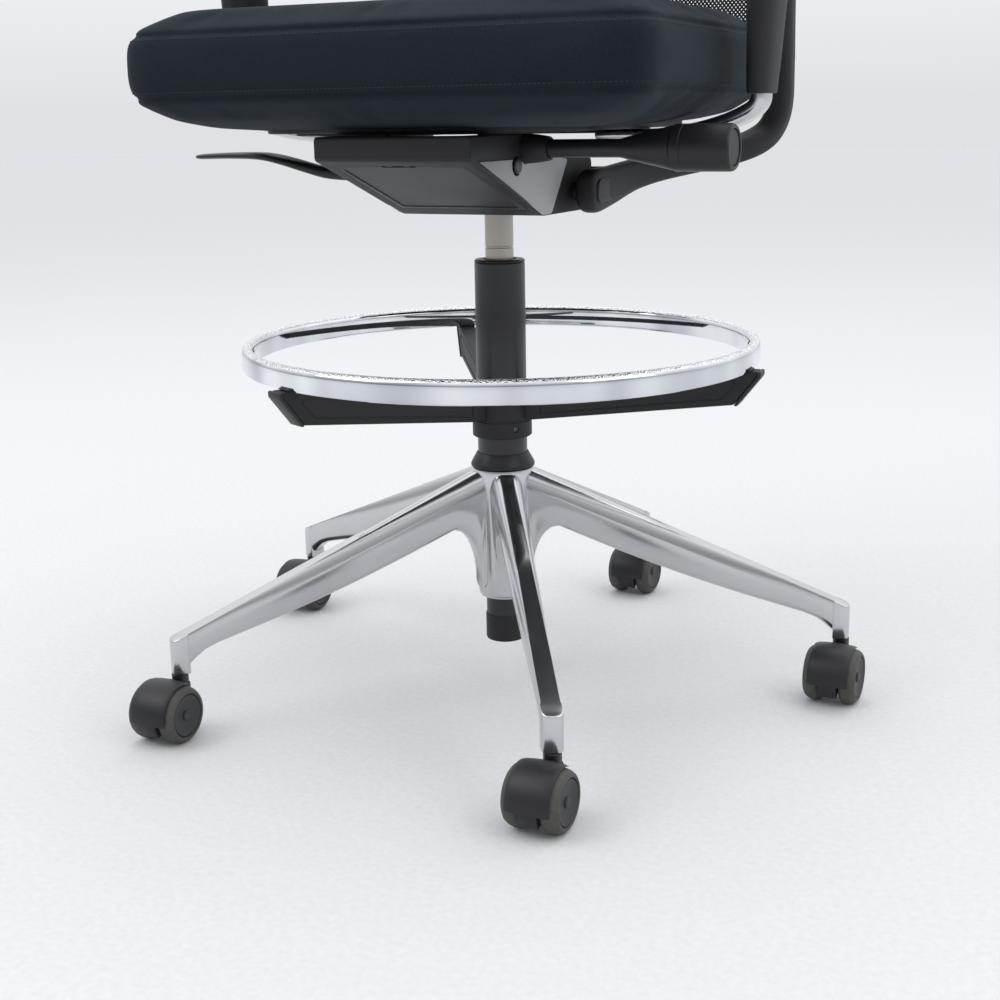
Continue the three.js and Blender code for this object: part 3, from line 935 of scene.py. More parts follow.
ZINC = GroundSteel("zinc_plated_steel", (0.5, 0.5, 0.5), 0.3)
TYRE = Polyurethane("polyurethane_tread")
CLOTH = Woven("navy_woven_cloth")
STITCH = Thread("navy_thread")
NET = OpenKnit("open_knit")
PAD = SoftSkin("soft_pad_skin")
FLOOR = PaleFloor("pale_floor")


# ---------------------------------------------------------------- assemblies


@dataclass
class Part:
    """One finished piece and what it needs to be dressed."""

    piece: Object
    body: str
    slot: str
    finishes: Sequence[Finish]
    nodes: Sequence[str] = ()
    angle: float = 32


@dataclass
class Assembly:
    """A group of pieces that are built, then dressed and reported."""

    parts: list[Part] = field(default_factory=list, init=False)

    def add(
        self, piece: Object, body: str, slot: str, *finishes: Finish, nodes: Sequence[str] = (),
        angle: float = 32
    ) -> Object:
        """Notes a finished piece with its body, slot, finishes and the nodes that it stands for."""
        self.parts.append(Part(piece, body, slot, finishes, nodes, angle))
        return piece

    def build(self) -> None:
        """Builds the pieces."""
        raise NotImplementedError

    def dress(self) -> None:
        """Shades, paints and attaches every piece."""
        for part in self.parts:
            smooth(part.piece, part.angle)
            for finish in part.finishes:
                part.piece.data.materials.append(finish.material())
            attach(part.piece, part.body)
            if part.nodes:
                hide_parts(*part.nodes)
            LOG.info("%s: %d faces on %s", part.piece.name, len(part.piece.data.polygons), part.body)


def paint_faces(piece: Object, index: int, test: Callable[[Vector, Vector], bool]) -> None:
    """Gives a second material to the faces whose centre (in mm) and normal pass a test."""
    for face in piece.data.polygons:
        if test(face.center / MM, face.normal):
            face.material_index = index


@dataclass
class StarBase(Assembly):
    """Five cast legs that flow out of a hub."""

    legs: int = 5
    first_leg: float = 230.2
    hub_top: float = 225.5
    hub_bottom: float = 88
    bore: float = 22.6
    tip_top: float = 94
    tip_bottom: float = 59
    tip_outer: float = 350.7
    tip_half: float = 9.6
    stem_at: float = 343.2

    def crest_at(self, r: float) -> float:
        """Height of the leg's top facet at a radius."""
        fall = (self.hub_top - 3.5 - self.tip_top) / (self.tip_outer - 37)
        return min(self.hub_top - 3.5 - (r - 32) * fall, self.hub_top - 0.6)

    def under_at(self, r: float) -> float:
        """Height of the leg's underside at a radius: an arch that runs down the hub.

        Args:
            r: the distance from the column's axis.

        Returns:
            The underside's height.
        """
        if r < 58:
            rise = (58 - max(r, 27.4)) / (58 - 27.4)
            return 98 + 66 * math.sqrt(max(1 - rise**2, 0))
        if r < 308:
            return 164 - (r - 58) * (164 - 83) / 250 - 5 * math.sin(math.pi * (r - 58) / 250)
        return 83 - (r - 308) * 0.42 - max(r - 322, 0) * 0.5

    def leg(self) -> Object:
        """One leg along +X, from inside the hub into the tip.

        Returns:
            The closed leg.
        """
        radii = [
            14, 22, 27.4, 27.9, 29, 31, 34, 38, 43, 50, 58, 68, 82, 100, 122, 148, 175, 205, 235, 262,
            286, 305, 318, 328, 336
        ]
        rings = []
        for r in radii:
            far = min(max((r - 32) / 260, 0), 1)
            top, under = self.crest_at(r), self.under_at(r)
            crest = 5.2 + 3.0 * far
            shoulder = 16.8 - 7.4 * far**0.9
            chin = (11.5 if r < 34 else 13) - 4.2 * far
            fall = min(0.36 * (top - under), 20 - 9 * far)
            corner = Vector(
                (crest + (shoulder - crest) * (0.85 - 0.25 * far), top - fall * 0.1 - 1.2 * far)
            )
            right = [(crest, top)]
            for k in range(1, 8):
                t = k / 7
                edge = Vector((crest, top)) * (1 - t) ** 2
                spot = edge + corner * 2 * t * (1 - t) + Vector((shoulder, top - fall)) * t**2
                right.append((spot.x, spot.y))
            low = under + min(0.3 * (top - under), 9)
            right.append(((shoulder + chin) / 2, (top - fall + low) / 2))
            for k in range(6):
                angle = math.pi / 2 * k / 5
                right.append((chin * math.cos(angle) ** 0.7, low - (low - under) * math.sin(angle)))
            left = [(-y, z) for y, z in reversed(right[:-1])]
            rings.append([(r, y, z) for y, z in right + left])
        return loft("leg", rings)

    def heel(self) -> Object:
        """The upright end of a leg: rounded outside, cut off along the slope, with a bright rim.

        Returns:
            The closed end of one leg.
        """
        inner, outer, half = self.stem_at - 9, self.tip_outer, self.tip_half
        plan = rounded(
            [(inner, -half, 1.5), (outer, -half, 8.6), (outer, half, 8.6), (inner, half, 1.5)], 9
        )
        heel = prism("heel", plan, self.tip_bottom, 120)
        bpy.context.view_layer.objects.active = heel
        bpy.ops.object.mode_set(mode="EDIT")
        bpy.ops.mesh.select_all(action="SELECT")
        slope = self.crest_at(300) - self.crest_at(301)
        spot = Vector((outer, 0, self.crest_at(outer))) * MM
        bpy.ops.mesh.bisect(plane_co=spot, plane_no=(slope, 0, 1), use_fill=True, clear_outer=True)
        bpy.ops.object.mode_set(mode="OBJECT")
        return soften(heel, 1.3, 3, 50)

    def hub(self) -> Object:
        """The upright hub with a stepped foot and a rounded lip, bored for the column.

        Returns:
            The closed hub.
        """
        foot, top, bore = self.hub_bottom, self.hub_top, self.bore
        profile = [
            (bore - 2.4, foot), (24, foot), (25.2, foot + 0.8), (25.6, foot + 2.4), (26.6, foot + 3.4)
        ]
        profile += [(27, foot + 5), (27.6, 120), (28.6, 165), (30.4, 190), (31.8, 207), (32.2, top - 3)]
        profile += [(31.8, top - 1.2), (30.4, top), (bore, top)]
        return turned("hub", profile, 96)

    def build(self) -> None:
        """Joins the legs to the hub and bores the stem sockets."""
        star = self.hub()
        pattern = combine(self.leg(), self.heel())
        socket = turned("socket", [(0, 50), (5.6, 50), (5.6, 85), (0, 85)], 24)
        cut(pattern, placed(socket, shift(self.stem_at, 0, 0)))
        legs = [
            twin(pattern, f"leg_{k}", spun(self.first_leg + 360 / self.legs * k))
            for k in range(self.legs)
        ]
        bpy.data.objects.remove(pattern)
        bore = turned(
            "bore",
            [
                (0, 80), (self.bore - 2.4, 80), (self.bore - 2.4, self.hub_bottom), (self.bore, 226),
                (0, 226)
            ],
            96
        )
        combine(star, *legs)
        cut(star, bore)
        star.name = star.data.name = "star_base"
        self.add(star, "base", "polished_aluminium", CAST, nodes=["base_star"], angle=28)


@dataclass
class Casters(Assembly):
    """Five twin-wheel casters: hood, neck and two wheels each, trailing behind the stem."""

    radius: float = 27.5
    trail: float = 24.5
    inner: float = 9.8
    outer: float = 26
    hood_radius: float = 31
    hood_half: float = 20

    def onto_axle(self, piece: Object) -> Object:
        """Turns a piece from the Z axis on to the wheels' axle."""
        return placed(piece, ONTO_X, shift(0, -self.trail, self.radius))

    def hood(self) -> Object:
        """The barrel-shaped cover over both wheels, the web between them and the stem's boss.

        Returns:
            The cover, web and boss of one caster, in one piece.
        """
        half, top, under = self.hood_half, self.hood_radius, self.radius + 1.2
        crown = [
            (top - 1.5 * (k / 6) ** 2 - (0.5 if abs(k) == 6 else 0), half * k / 6) for k in range(-6, 7)
        ]
        shell = turned(
            "hood", crown + [(under, half), (under, -half)], 40, math.radians(122), math.radians(276)
        )
        web_half = self.inner - 1
        web = turned(
            "web", [(0, -web_half), (top - 1.6, -web_half), (top - 1.6, web_half), (0, web_half)], 48,
            math.radians(190), math.radians(305)
        )
        boss = turned("boss", [(0, 22), (9.2, 22), (9.2, 47.6), (8.4, 48.8), (0, 48.8)], 40)
        hood = combine(self.onto_axle(shell), self.onto_axle(web), boss)
        well = turned("well", [(0, 33), (5.8, 33), (5.8, 46.1), (8.6, 46.1), (8.6, 80), (0, 80)], 40)
        hole = self.onto_axle(turned("hole", [(0, -30), (3.4, -30), (3.4, 30), (0, 30)], 24))
        return soften(cut(hood, well, hole), 0.6, 2, 35)

    def wheel(self) -> Object:
        """The +X wheel: a rounded tread, a groove, a dished disc and a small cap.

        Returns:
            The closed wheel.
        """
        r, a, b = self.radius, self.inner, self.outer
        tread = [
            (r - 6.8, b - 1.5), (r - 6.4, b - 0.5), (r - 4.6, b - 0.2), (r - 2.6, b - 1.6),
            (r - 1, b - 4.4), (r - 0.2, b - 7.6)
        ]
        tread += [(r, (a + b) / 2 - 1), (r - 0.2, a + 3.4), (r - 1.1, a + 1), (r - 2.4, a)]
        disc = [
            (0, b - 1.1), (3.8, b - 1.1), (4.6, b - 1.5), (4.9, b - 2.9), (13, b - 2.5), (17.8, b - 1.2),
            (r - 8.2, b - 0.9), (r - 7.5, b - 1.6), (r - 7.3, b - 2.6), (r - 6.9, b - 2.6)
        ]
        back = [(3.5, a), (3.5, b - 5), (0, b - 5)]
        return self.onto_axle(turned("wheel", disc + tread + back, 72))

    def neck(self) -> Object:
        """The stem with its short collar under the leg's tip."""
        profile = [
            (0, 34), (5.2, 34), (5.2, 46.5), (7.4, 46.5), (8, 47.2), (8, 58), (7.4, 58.6), (5.2, 58.6)
        ]
        return turned("neck", profile + [(5.2, 83.4), (4.6, 84), (0, 84)], 40)

    def build(self) -> None:
        """Makes one caster and copies it under each leg's tip."""
        hood, wheel, neck = self.hood(), self.wheel(), self.neck()
        wheels = {"left": wheel, "right": mirrored(wheel, "wheel_right")}
        for side in wheels.values():
            tyre_from = self.radius - 7.1
            reach = lambda spot: math.hypot(spot.y + self.trail, spot.z - self.radius)
            paint_faces(side, 1, lambda spot, _: reach(spot) > tyre_from)
        for k in range(1, 6):
            low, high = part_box(f"caster_{k}_stem")
            stand = Matrix.Translation(Vector(((low.x + high.x) / 2, (low.y + high.y) / 2, 0)))
            self.add(
                twin(neck, f"neck_{k}", stand), "base", "black_steel", STEEL, nodes=[f"caster_{k}_stem"]
            )
            self.add(
                twin(hood, f"hood_{k}", stand), f"caster_{k}", "black_plastic", HOOD,
                nodes=[f"caster_{k}_hood"]
            )
            for side, piece in wheels.items():
                made = twin(piece, f"wheel_{k}_{side}", stand)
                self.add(
                    made, f"caster_{k}_{side}", "wheel", DISC, TYRE, nodes=[f"caster_{k}_wheel_{side}"]
                )
        for pattern in (hood, neck, *wheels.values()):
            bpy.data.objects.remove(pattern)


@dataclass
class Column(Assembly):
    """The outer tube in its seal ring, the bush at its mouth, the cylinder and the cap below."""

    radius: float = 25
    hub_top: float = 225.5
    top: float = 431
    cylinder: float = 14

    def build(self) -> None:
        """Turns the five pieces that show."""
        r, lip, top = self.radius, self.hub_top, self.top
        bore = [(21, top), (21, top - 36), (17.5, top - 36), (17.5, 55), (6, 55), (6, 50)]
        stub = [(18.6, 50), (19.2, 50.8), (19.2, 88), (21.9, lip), (21.9, lip + 2), (r, lip + 2)]
        tube = turned("column", [(r, top - 0.8), (r - 0.8, top)] + bore + stub, 96)
        self.add(tube, "base", "black_steel", STEEL, nodes=["column_tube"])
        seal_ring = [
            (25.4, 239), (25.8, 240), (26.4, 239.4), (31.8, lip + 4.2), (32.4, lip + 2.6),
            (32.4, lip + 0.4), (22.3, lip + 0.4), (22.3, lip + 1.3), (25.4, lip + 1.3)
        ]
        self.add(
            turned("seal_ring", seal_ring, 96), "base", "black_plastic", HANDLE,
            nodes=["column_seal_ring"]
        )
        bush = [
            (14.8, top - 34), (20.6, top - 34), (20.6, top + 0.3), (r - 0.3, top + 0.3), (r, top + 0.6),
            (r, top + 1.6)
        ]
        bush += [
            (r - 1.4, top + 2.8), (17.5, top + 3), (16.6, top + 2.4), (16.4, top + 1), (14.8, top + 0.6)
        ]
        self.add(turned("bush", bush, 96), "base", "black_plastic", HANDLE, nodes=["column_bush"])
        cap = [
            (0, 40), (17.4, 40), (19.4, 40.8), (20.2, 42.4), (20.2, 66.6), (19.9, 68), (19.5, 68),
            (19.5, 43), (0, 43)
        ]
        self.add(turned("end_cap", cap, 96), "base", "black_plastic", BLACK, nodes=["column_end_cap"])
        c = self.cylinder
        sleeve = [
            (c - 1, 92), (c, 93), (c, 444.5), (c - 0.35, 445), (c - 0.35, 446.2), (c, 446.7), (c, 519),
            (c - 1, 520)
        ]
        sleeve += [(4.6, 520), (4.6, 500), (12, 490), (12, 100), (4.8, 100), (4.8, 92)]
        self.add(
            turned("cylinder", sleeve, 96), "control", "cylinder_steel", CYLINDER, nodes=["pressure_tube"]
        )


@dataclass
class FootRest(Assembly):
    """The plated ring with its grip, on three arms of a collar clamped to the column."""

    outer: float = 256.5
    band: float = 12
    bottom: float = 334
    top: float = 356.5
    first_arm: float = 5
    screw_at: float = 323
    screw_z: float = 267

    def hoop(self) -> Object:
        """The ring: upright sides, rounded edges and a grip on the crown.

        Returns:
            The closed ring.
        """
        out, into, low, top = self.outer, self.outer - self.band, self.bottom, self.top
        arc = [(math.cos(math.pi * k / 14), math.sin(math.pi * k / 14)) for k in range(15)]
        middle, half = (out + into) / 2, self.band / 2
        crown = [(middle + half * u, top - 6 + 6 * v) for u, v in arc]
        under = [
            (into, low + 3), (into + 0.9, low + 0.9), (into + 3, low), (out - 3, low),
            (out - 0.9, low + 0.9), (out, low + 3)
        ]
        hoop = turned("foot_hoop", crown + under, 192)
        paint_faces(hoop, 1, lambda spot, normal: spot.z > top - 2.4)
        return hoop

    def arm(self) -> Object:
        """One arm along +X, flat-sided, that rises from the collar to under the ring.

        Returns:
            The closed arm.
        """
        seat = self.bottom - 0.3
        side = [(24, 274), (238, 300.6), (260.4, 329.4), (260.4, seat), (244, seat), (24, 303)]
        arm = soften(prism("arm", side, -9, 9, Plane.XZ), 1.1, 2)
        for sign in (1, -1):
            face = [(44, 281.5), (228, 305.4), (243, 322), (238, 327.2), (44, 301.2)]
            groove = prism("groove", face, sign * 9 - 0.7, sign * 9 + 0.7, Plane.XZ)
            panel = prism(
                "panel", [(50, 283.8), (226.5, 306.6), (239.5, 321), (236.6, 324.4), (50, 299.4)],
                sign * 8.3 - 0.9, sign * 8.3 + 0.55, Plane.XZ
            )
            cut(arm, groove)
            combine(arm, soften(panel, 0.3, 1))
        return arm

    def end_cap(self) -> Object:
        """The cap on an arm's end that holds the ring from below.

        Returns:
            The closed cap.
        """
        seat = self.bottom - 0.3
        side = [
            (238.6, 300.5), (241.4, 299.4, 1), (264, 328.2, 1.5), (264, seat - 0.2, 1.5), (260.6, seat),
            (260.6, 329.2)
        ]
        return soften(prism("arm_cap", rounded(side, 4), -10.2, 10.2, Plane.XZ), 0.8, 2)

    def build(self) -> None:
        """Makes the collar with its arms, their caps, the ring and the clamp screw."""
        self.add(self.hoop(), "foot_ring", "chrome", PLATING, GRIP, nodes=["foot_ring"])
        collar = [
            (25.5, 258), (26.3, 257), (29, 257), (30, 258), (30, 273), (29.3, 273.6), (29.3, 275),
            (30, 275.6)
        ]
        collar += [(30, 306.6), (29.4, 309), (27.4, 310), (26.2, 310), (25.5, 309)]
        body = turned("ring_collar", collar, 96)
        arm, cap = self.arm(), self.end_cap()
        angles = [self.first_arm + 120 * k for k in range(3)]
        combine(body, *(twin(arm, f"arm_{angle}", spun(angle)) for angle in angles))
        hole = placed(
            turned("hole", [(0, 20), (3.4, 20), (3.4, 40), (0, 40)], 24), ONTO_X,
            shift(0, 0, self.screw_z), spun(self.screw_at)
        )
        bore = turned("bore", [(0, 250), (25.5, 250), (25.5, 320), (0, 320)], 96)
        cut(body, bore, hole)
        self.add(body, "foot_ring", "black_plastic", BLACK, nodes=["ring_carrier"])
        for k, angle in enumerate(angles):
            self.add(twin(cap, f"arm_cap_{k + 1}", spun(angle)), "foot_ring", "black_plastic", INSET)
        for pattern in (arm, cap):
            bpy.data.objects.remove(pattern)
        screw = placed(
            screw_head("clamp_grub", 3, 0.9, 1.7), shift(0, 0, 28.6), ONTO_X, shift(0, 0, self.screw_z),
            spun(self.screw_at)
        )
        self.add(screw, "foot_ring", "zinc_steel", DARK_SCREW, nodes=["clamp_screw"])


@dataclass
class Mechanism(Assembly):
    """The tilt mechanism's housing with its cover, side plates, lever, shaft and knob."""

    half: float = 76.5
    front: float = -210
    rear: float = 60
    top: float = 555.5
    brow: float = 535
    toe: float = -58
    bottom: float = 480
    knob: Pair = (-100, 542)
    lever: Pair = (-92, 519)
    seat_pivot: Pair = (-119, 528)
    back_pivot: Pair = (21, 499)

    @property
    def slope(self) -> float:
        """The sloping underside's angle, in degrees."""
        return math.degrees(math.atan2(self.brow - self.bottom, self.toe - self.front))

    def on_slope(self, piece: Object) -> Object:
        """Lays a piece that was drawn flat on the sloping underside."""
        return placed(piece, spun(-self.slope, "X"), shift(0, self.front, self.brow))

    def rod(self, name: str, radius: float, x0: float, x1: float, spot: Pair, steps: int = 40) -> Object:
        """A plain round tool along X, through (y, z)."""
        return placed(
            turned(name, [(0, x0), (radius, x0), (radius, x1), (0, x1)], steps), ONTO_X, shift(0, *spot)
        )

    def housing(self) -> Object:
        """The hollow housing: band, slope, cheeks and the boss for the cylinder.

        Returns:
            The housing, in one piece.
        """
        half, front, rear, top = self.half, self.front, self.rear, self.top
        brow, toe, low = self.brow, self.toe, self.bottom
        side = rounded(
            [
                (front, top, 4), (front, brow, 3), (toe, low, 4), (rear - 8, low, 7), (rear, 500, 5),
                (rear, 528, 5), (36, 536), (-104, top)
            ]
        )
        shell = soften(prism("housing", side, -half, half, Plane.YZ), 2.2, 3, 40)
        hollow = [
            (front + 5, top + 5), (front + 5, brow + 4), (toe, low + 6), (rear - 5, low + 6),
            (rear - 5, top + 5)
        ]
        cheek = [
            (front + 14, brow - 1), (toe, low - 1), (rear + 1, low - 1), (rear + 1, top), (0, top),
            (-30, brow - 1)
        ]
        inside = prism("inside", hollow, -half + 8.4, half - 8.4, Plane.YZ)
        recess = prism("recess", cheek, half - 3.3, half + 1, Plane.YZ)
        cut(shell, inside, mirrored(recess, "recess_right"), recess)
        boss = turned("boss", [(0, low + 4), (21, low + 4), (21, 510), (19.6, 512), (0, 512)], 64)
        flare = [
            (0, half - 12), (13, half - 12), (13, half + 4), (12.4, half + 12), (10.9, half + 22),
            (10.4, half + 24), (0, half + 24)
        ]
        combine(shell, boss, placed(turned("flare", flare, 48), ONTO_X, shift(0, *self.knob)))
        bore = turned("bore", [(0, low - 1), (14.3, low - 1), (14.3, 560), (0, 560)], 64)
        flat = self.on_slope(prism("flat", rounded(block(-65.8, 13.7, 65.8, 142.3, 3)), -0.5, 3))
        cut(shell, bore, flat)
        cut(
            shell, self.rod("knob_hole", 8.8, half - 20, half + 30, self.knob),
            self.rod("pin_hole", 4.5, -half - 1, half + 1, self.seat_pivot)
        )
        return cut(
            shell, self.rod("lever_hole", 8.8, -half - 1, -half + 30, self.lever),
            self.rod("hub_hole", 9, -half - 1, half + 1, self.back_pivot)
        )

    def cover(self) -> Object:
        """The inset cover on the slope, with a fine step, a latch slot and two tabs.

        Returns:
            The cover with its tabs, in one piece.
        """
        plate = prism("slope_cover", rounded(block(-65.5, 14, 65.5, 142, 3)), 0, 2.4)
        step = prism("step", rounded(block(-60, 22, 60, 136, 3)), -1, 0.7)
        slot = prism("slot", rounded([(-17, 12), (17, 12), (17, 17.5, 1.5), (-17, 17.5, 1.5)]), -1, 1.7)
        cut(soften(plate, 0.5, 2), step, slot)
        tabs = [prism("tab", rounded(block(x - 3, 12.6, x + 3, 15.6, 0.8), 2), 0.1, 2.1) for x in (-9, 9)]
        return self.on_slope(combine(plate, *tabs))

    def side_plate(self, sign: int) -> Object:
        """A flat side plate with its recessed pivot and holes; sign is 1 for the +X side.

        Args:
            sign: 1 for the +X side and -1 for the other.

        Returns:
            The closed plate.
        """
        shape = rounded([(-191, 533.4, 2), (-60, 481.2, 3), (-44, 481.5, 4), (-6, 530, 5), (-36, 533, 3)])
        plate = soften(prism("side_plate", shape, self.half - 3, self.half, Plane.YZ), 0.6, 2)
        if sign < 0:
            plate = placed(plate, Matrix.Diagonal((-1, 1, 1, 1)))
            plate.data.flip_normals()
        ends = (-self.half - 1, self.half + 1)
        cut(
            plate, self.rod("pin", 9.4, *ends, self.seat_pivot),
            self.rod("lever_eye", 8.8, -self.half - 1, -50, self.lever)
        )
        return cut(plate, self.rod("knob_eye", 13.6, 50, self.half + 1, self.knob))

    def pin_cap(self, sign: int) -> Object:
        """The pivot's cap: a dished washer round a hexagon socket.

        Args:
            sign: 1 for the +X side and -1 for the other.

        Returns:
            The closed cap.
        """
        half = self.half
        profile = [
            (0, half + 1.6), (6.6, half + 1.6), (7.3, half + 0.8), (7.3, half + 0.3), (0, half + 0.3)
        ]
        key = prism(
            "key", [(2.6 * math.cos(k * TURN / 6), 2.6 * math.sin(k * TURN / 6)) for k in range(6)],
            half + 0.7, half + 3
        )
        cap = placed(cut(turned("pin_cap", profile, 40), key), ONTO_X, shift(0, *self.seat_pivot))
        if sign < 0:
            placed(cap, Matrix.Diagonal((-1, 1, 1, 1)))
            cap.data.flip_normals()
        return cap

    def height_lever(self) -> Object:
        """The flat blade that runs out to the sitter's right, its shaft and the finger on the valve.

        Returns:
            The lever, in one piece.
        """
        y, z = self.lever
        blade = [
            (-279, y - 6, z + 17, 10, 1.9), (-276, y - 6, z + 17.1, 13, 2.3),
            (-268, y - 6, z + 17.4, 15.4, 2.7), (-240, y - 5.6, z + 18, 16.8, 3)
        ]
        blade += [
            (-205, y - 5, z + 17.2, 17, 3.4), (-180, y - 3.4, z + 12.4, 16, 3.9),
            (-160, y - 2, z + 7, 13, 4.6), (-138, y - 0.6, z + 1.6, 10, 5.2)
        ]
        blade += [
            (-120, y, z, 7.6, 5.5), (-104, y, z, 5.6, 5.6), (-78, y, z, 5.6, 5.6), (-52, y, z, 5.6, 5.6)
        ]
        finger = [
            (-58, y, z + 1, 4, 5), (-40, y + 18, z + 6, 4, 5), (-12, -12, z + 14, 4.5, 4.5),
            (6, 5, z + 14, 5, 4.5)
        ]
        arm = sweep("height_lever", flowing(blade, 3), (0, 0, 1), 24, 0.7)
        return combine(arm, sweep("finger", finger, (0, 0, 1), 16, 0.8))

    def tension_parts(self) -> tuple[Object, Object, Object]:
        """The cone-shaped shaft, the knob with its seam and fine flutes, and the inset end disc.

        Returns:
            The shaft, the knob and the end disc.
        """
        shaft = [
            (0, 54), (8, 54), (8, 166), (8.6, 170), (9.8, 174), (18.2, 212.6), (18.6, 214), (18.6, 216.4),
            (18, 216.7), (0, 216.7)
        ]
        body = [
            (0, 217), (19, 217), (19.8, 217.8), (20, 218.6), (20, 225.6), (19.5, 226), (19.5, 227),
            (20, 227.4), (20, 266.6), (19.4, 268.8), (18, 270), (16.2, 270), (15.7, 269.4), (15.7, 266.4),
            (0, 266.4)
        ]
        disc = [(0, 266.7), (15.3, 266.7), (15.3, 268.2), (14.6, 268.9), (0, 269.2)]
        made = [
            placed(turned(name, profile, 72), ONTO_X, shift(0, *self.knob)) for name,
            profile in (("tension_stem", shaft), ("tension_grip", body), ("knob_disc", disc))
        ]
        return made[0], made[1], made[2]

    def build(self) -> None:
        """Builds the mechanism's pieces that show."""
        self.add(self.housing(), "control", "black_plastic", BLACK, nodes=["mechanism_housing"], angle=30)
        self.add(self.cover(), "control", "black_plastic", INSET, nodes=["mechanism_cover"])
        for sign, side in ((1, "left"), (-1, "right")):
            plate = self.side_plate(sign)
            plate.name = plate.data.name = f"plate_{side}"
            self.add(plate, "control", "side_plate", PLATE, nodes=[f"side_plate_{side}"])
            cap = self.pin_cap(sign)
            cap.name = cap.data.name = f"pin_cap_{side}"
            self.add(cap, "control", "black_steel", HANDLE)
        self.add(self.height_lever(), "lever", "knob_plastic", HANDLE, nodes=["height_lever"], angle=40)
        shaft, grip, disc = self.tension_parts()
        self.add(shaft, "tension", "knob_plastic", HANDLE, nodes=["tension_shaft"])
        self.add(grip, "tension", "knob_plastic", HANDLE, nodes=["tension_knob"])
        self.add(disc, "tension", "knob_plastic", INSET)


@dataclass
class Cushion:
    """How a padded shape is swollen by a short cloth simulation."""

    voxel: float
    pressure: float
    reach: float
    steps: int = 20

    def swell(self, piece: Object) -> Object:
        """Remeshes the piece, lets air pressure round it and applies the result.

        Args:
            piece: a closed shape, slightly smaller than the cushion.

        Returns:
            The same object with its swollen, once subdivided mesh.
        """
        modify(piece, "REMESH", mode="VOXEL", voxel_size=self.voxel * MM)
        self._inflate(piece)
        modify(piece, "SMOOTH", factor=0.5, iterations=4)
        return modify(piece, "SUBSURF", levels=1, render_levels=1)

    def _inflate(self, piece: Object) -> None:
        """Runs the simulation and moves each point, by no more than the reach.

        Args:
            piece: the closed piece in its unswollen shape.
        """
        rest = [vert.co.copy() for vert in piece.data.vertices]
        cloth = piece.modifiers.new("Cloth", "CLOTH")
        cloth.settings.use_pressure = True
        cloth.settings.uniform_pressure_force = self.pressure
        cloth.settings.effector_weights.gravity = 0
        cloth.settings.quality = 4
        cloth.settings.mass = 0.4
        cloth.settings.tension_stiffness = 25
        cloth.settings.compression_stiffness = 25
        cloth.settings.bending_stiffness = 1.5
        cloth.point_cache.frame_start, cloth.point_cache.frame_end = 1, self.steps
        for step in range(1, self.steps + 1):
            bpy.context.scene.frame_set(step)
        posed = piece.evaluated_get(bpy.context.evaluated_depsgraph_get()).data
        moved = [vert.co.copy() for vert in posed.vertices]
        piece.modifiers.remove(cloth)
        bpy.context.scene.frame_set(1)
        for vert, old, new in zip(piece.data.vertices, rest, moved):
            step = new - old
            limit = self.reach * MM
            vert.co = old + (step if step.length <= limit else step * (limit / step.length))


def fill_box(piece: Object, node: str) -> Object:
    """Stretches a swollen piece until its box is that of the node it stands for."""
    for axis, (low, high) in enumerate(zip(*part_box(node))):
        spots = [vert.co[axis] for vert in piece.data.vertices]
        start, stretch = min(spots), (high - low) / (max(spots) - min(spots))
        for vert in piece.data.vertices:
            vert.co[axis] = low + (vert.co[axis] - start) * stretch
    return piece


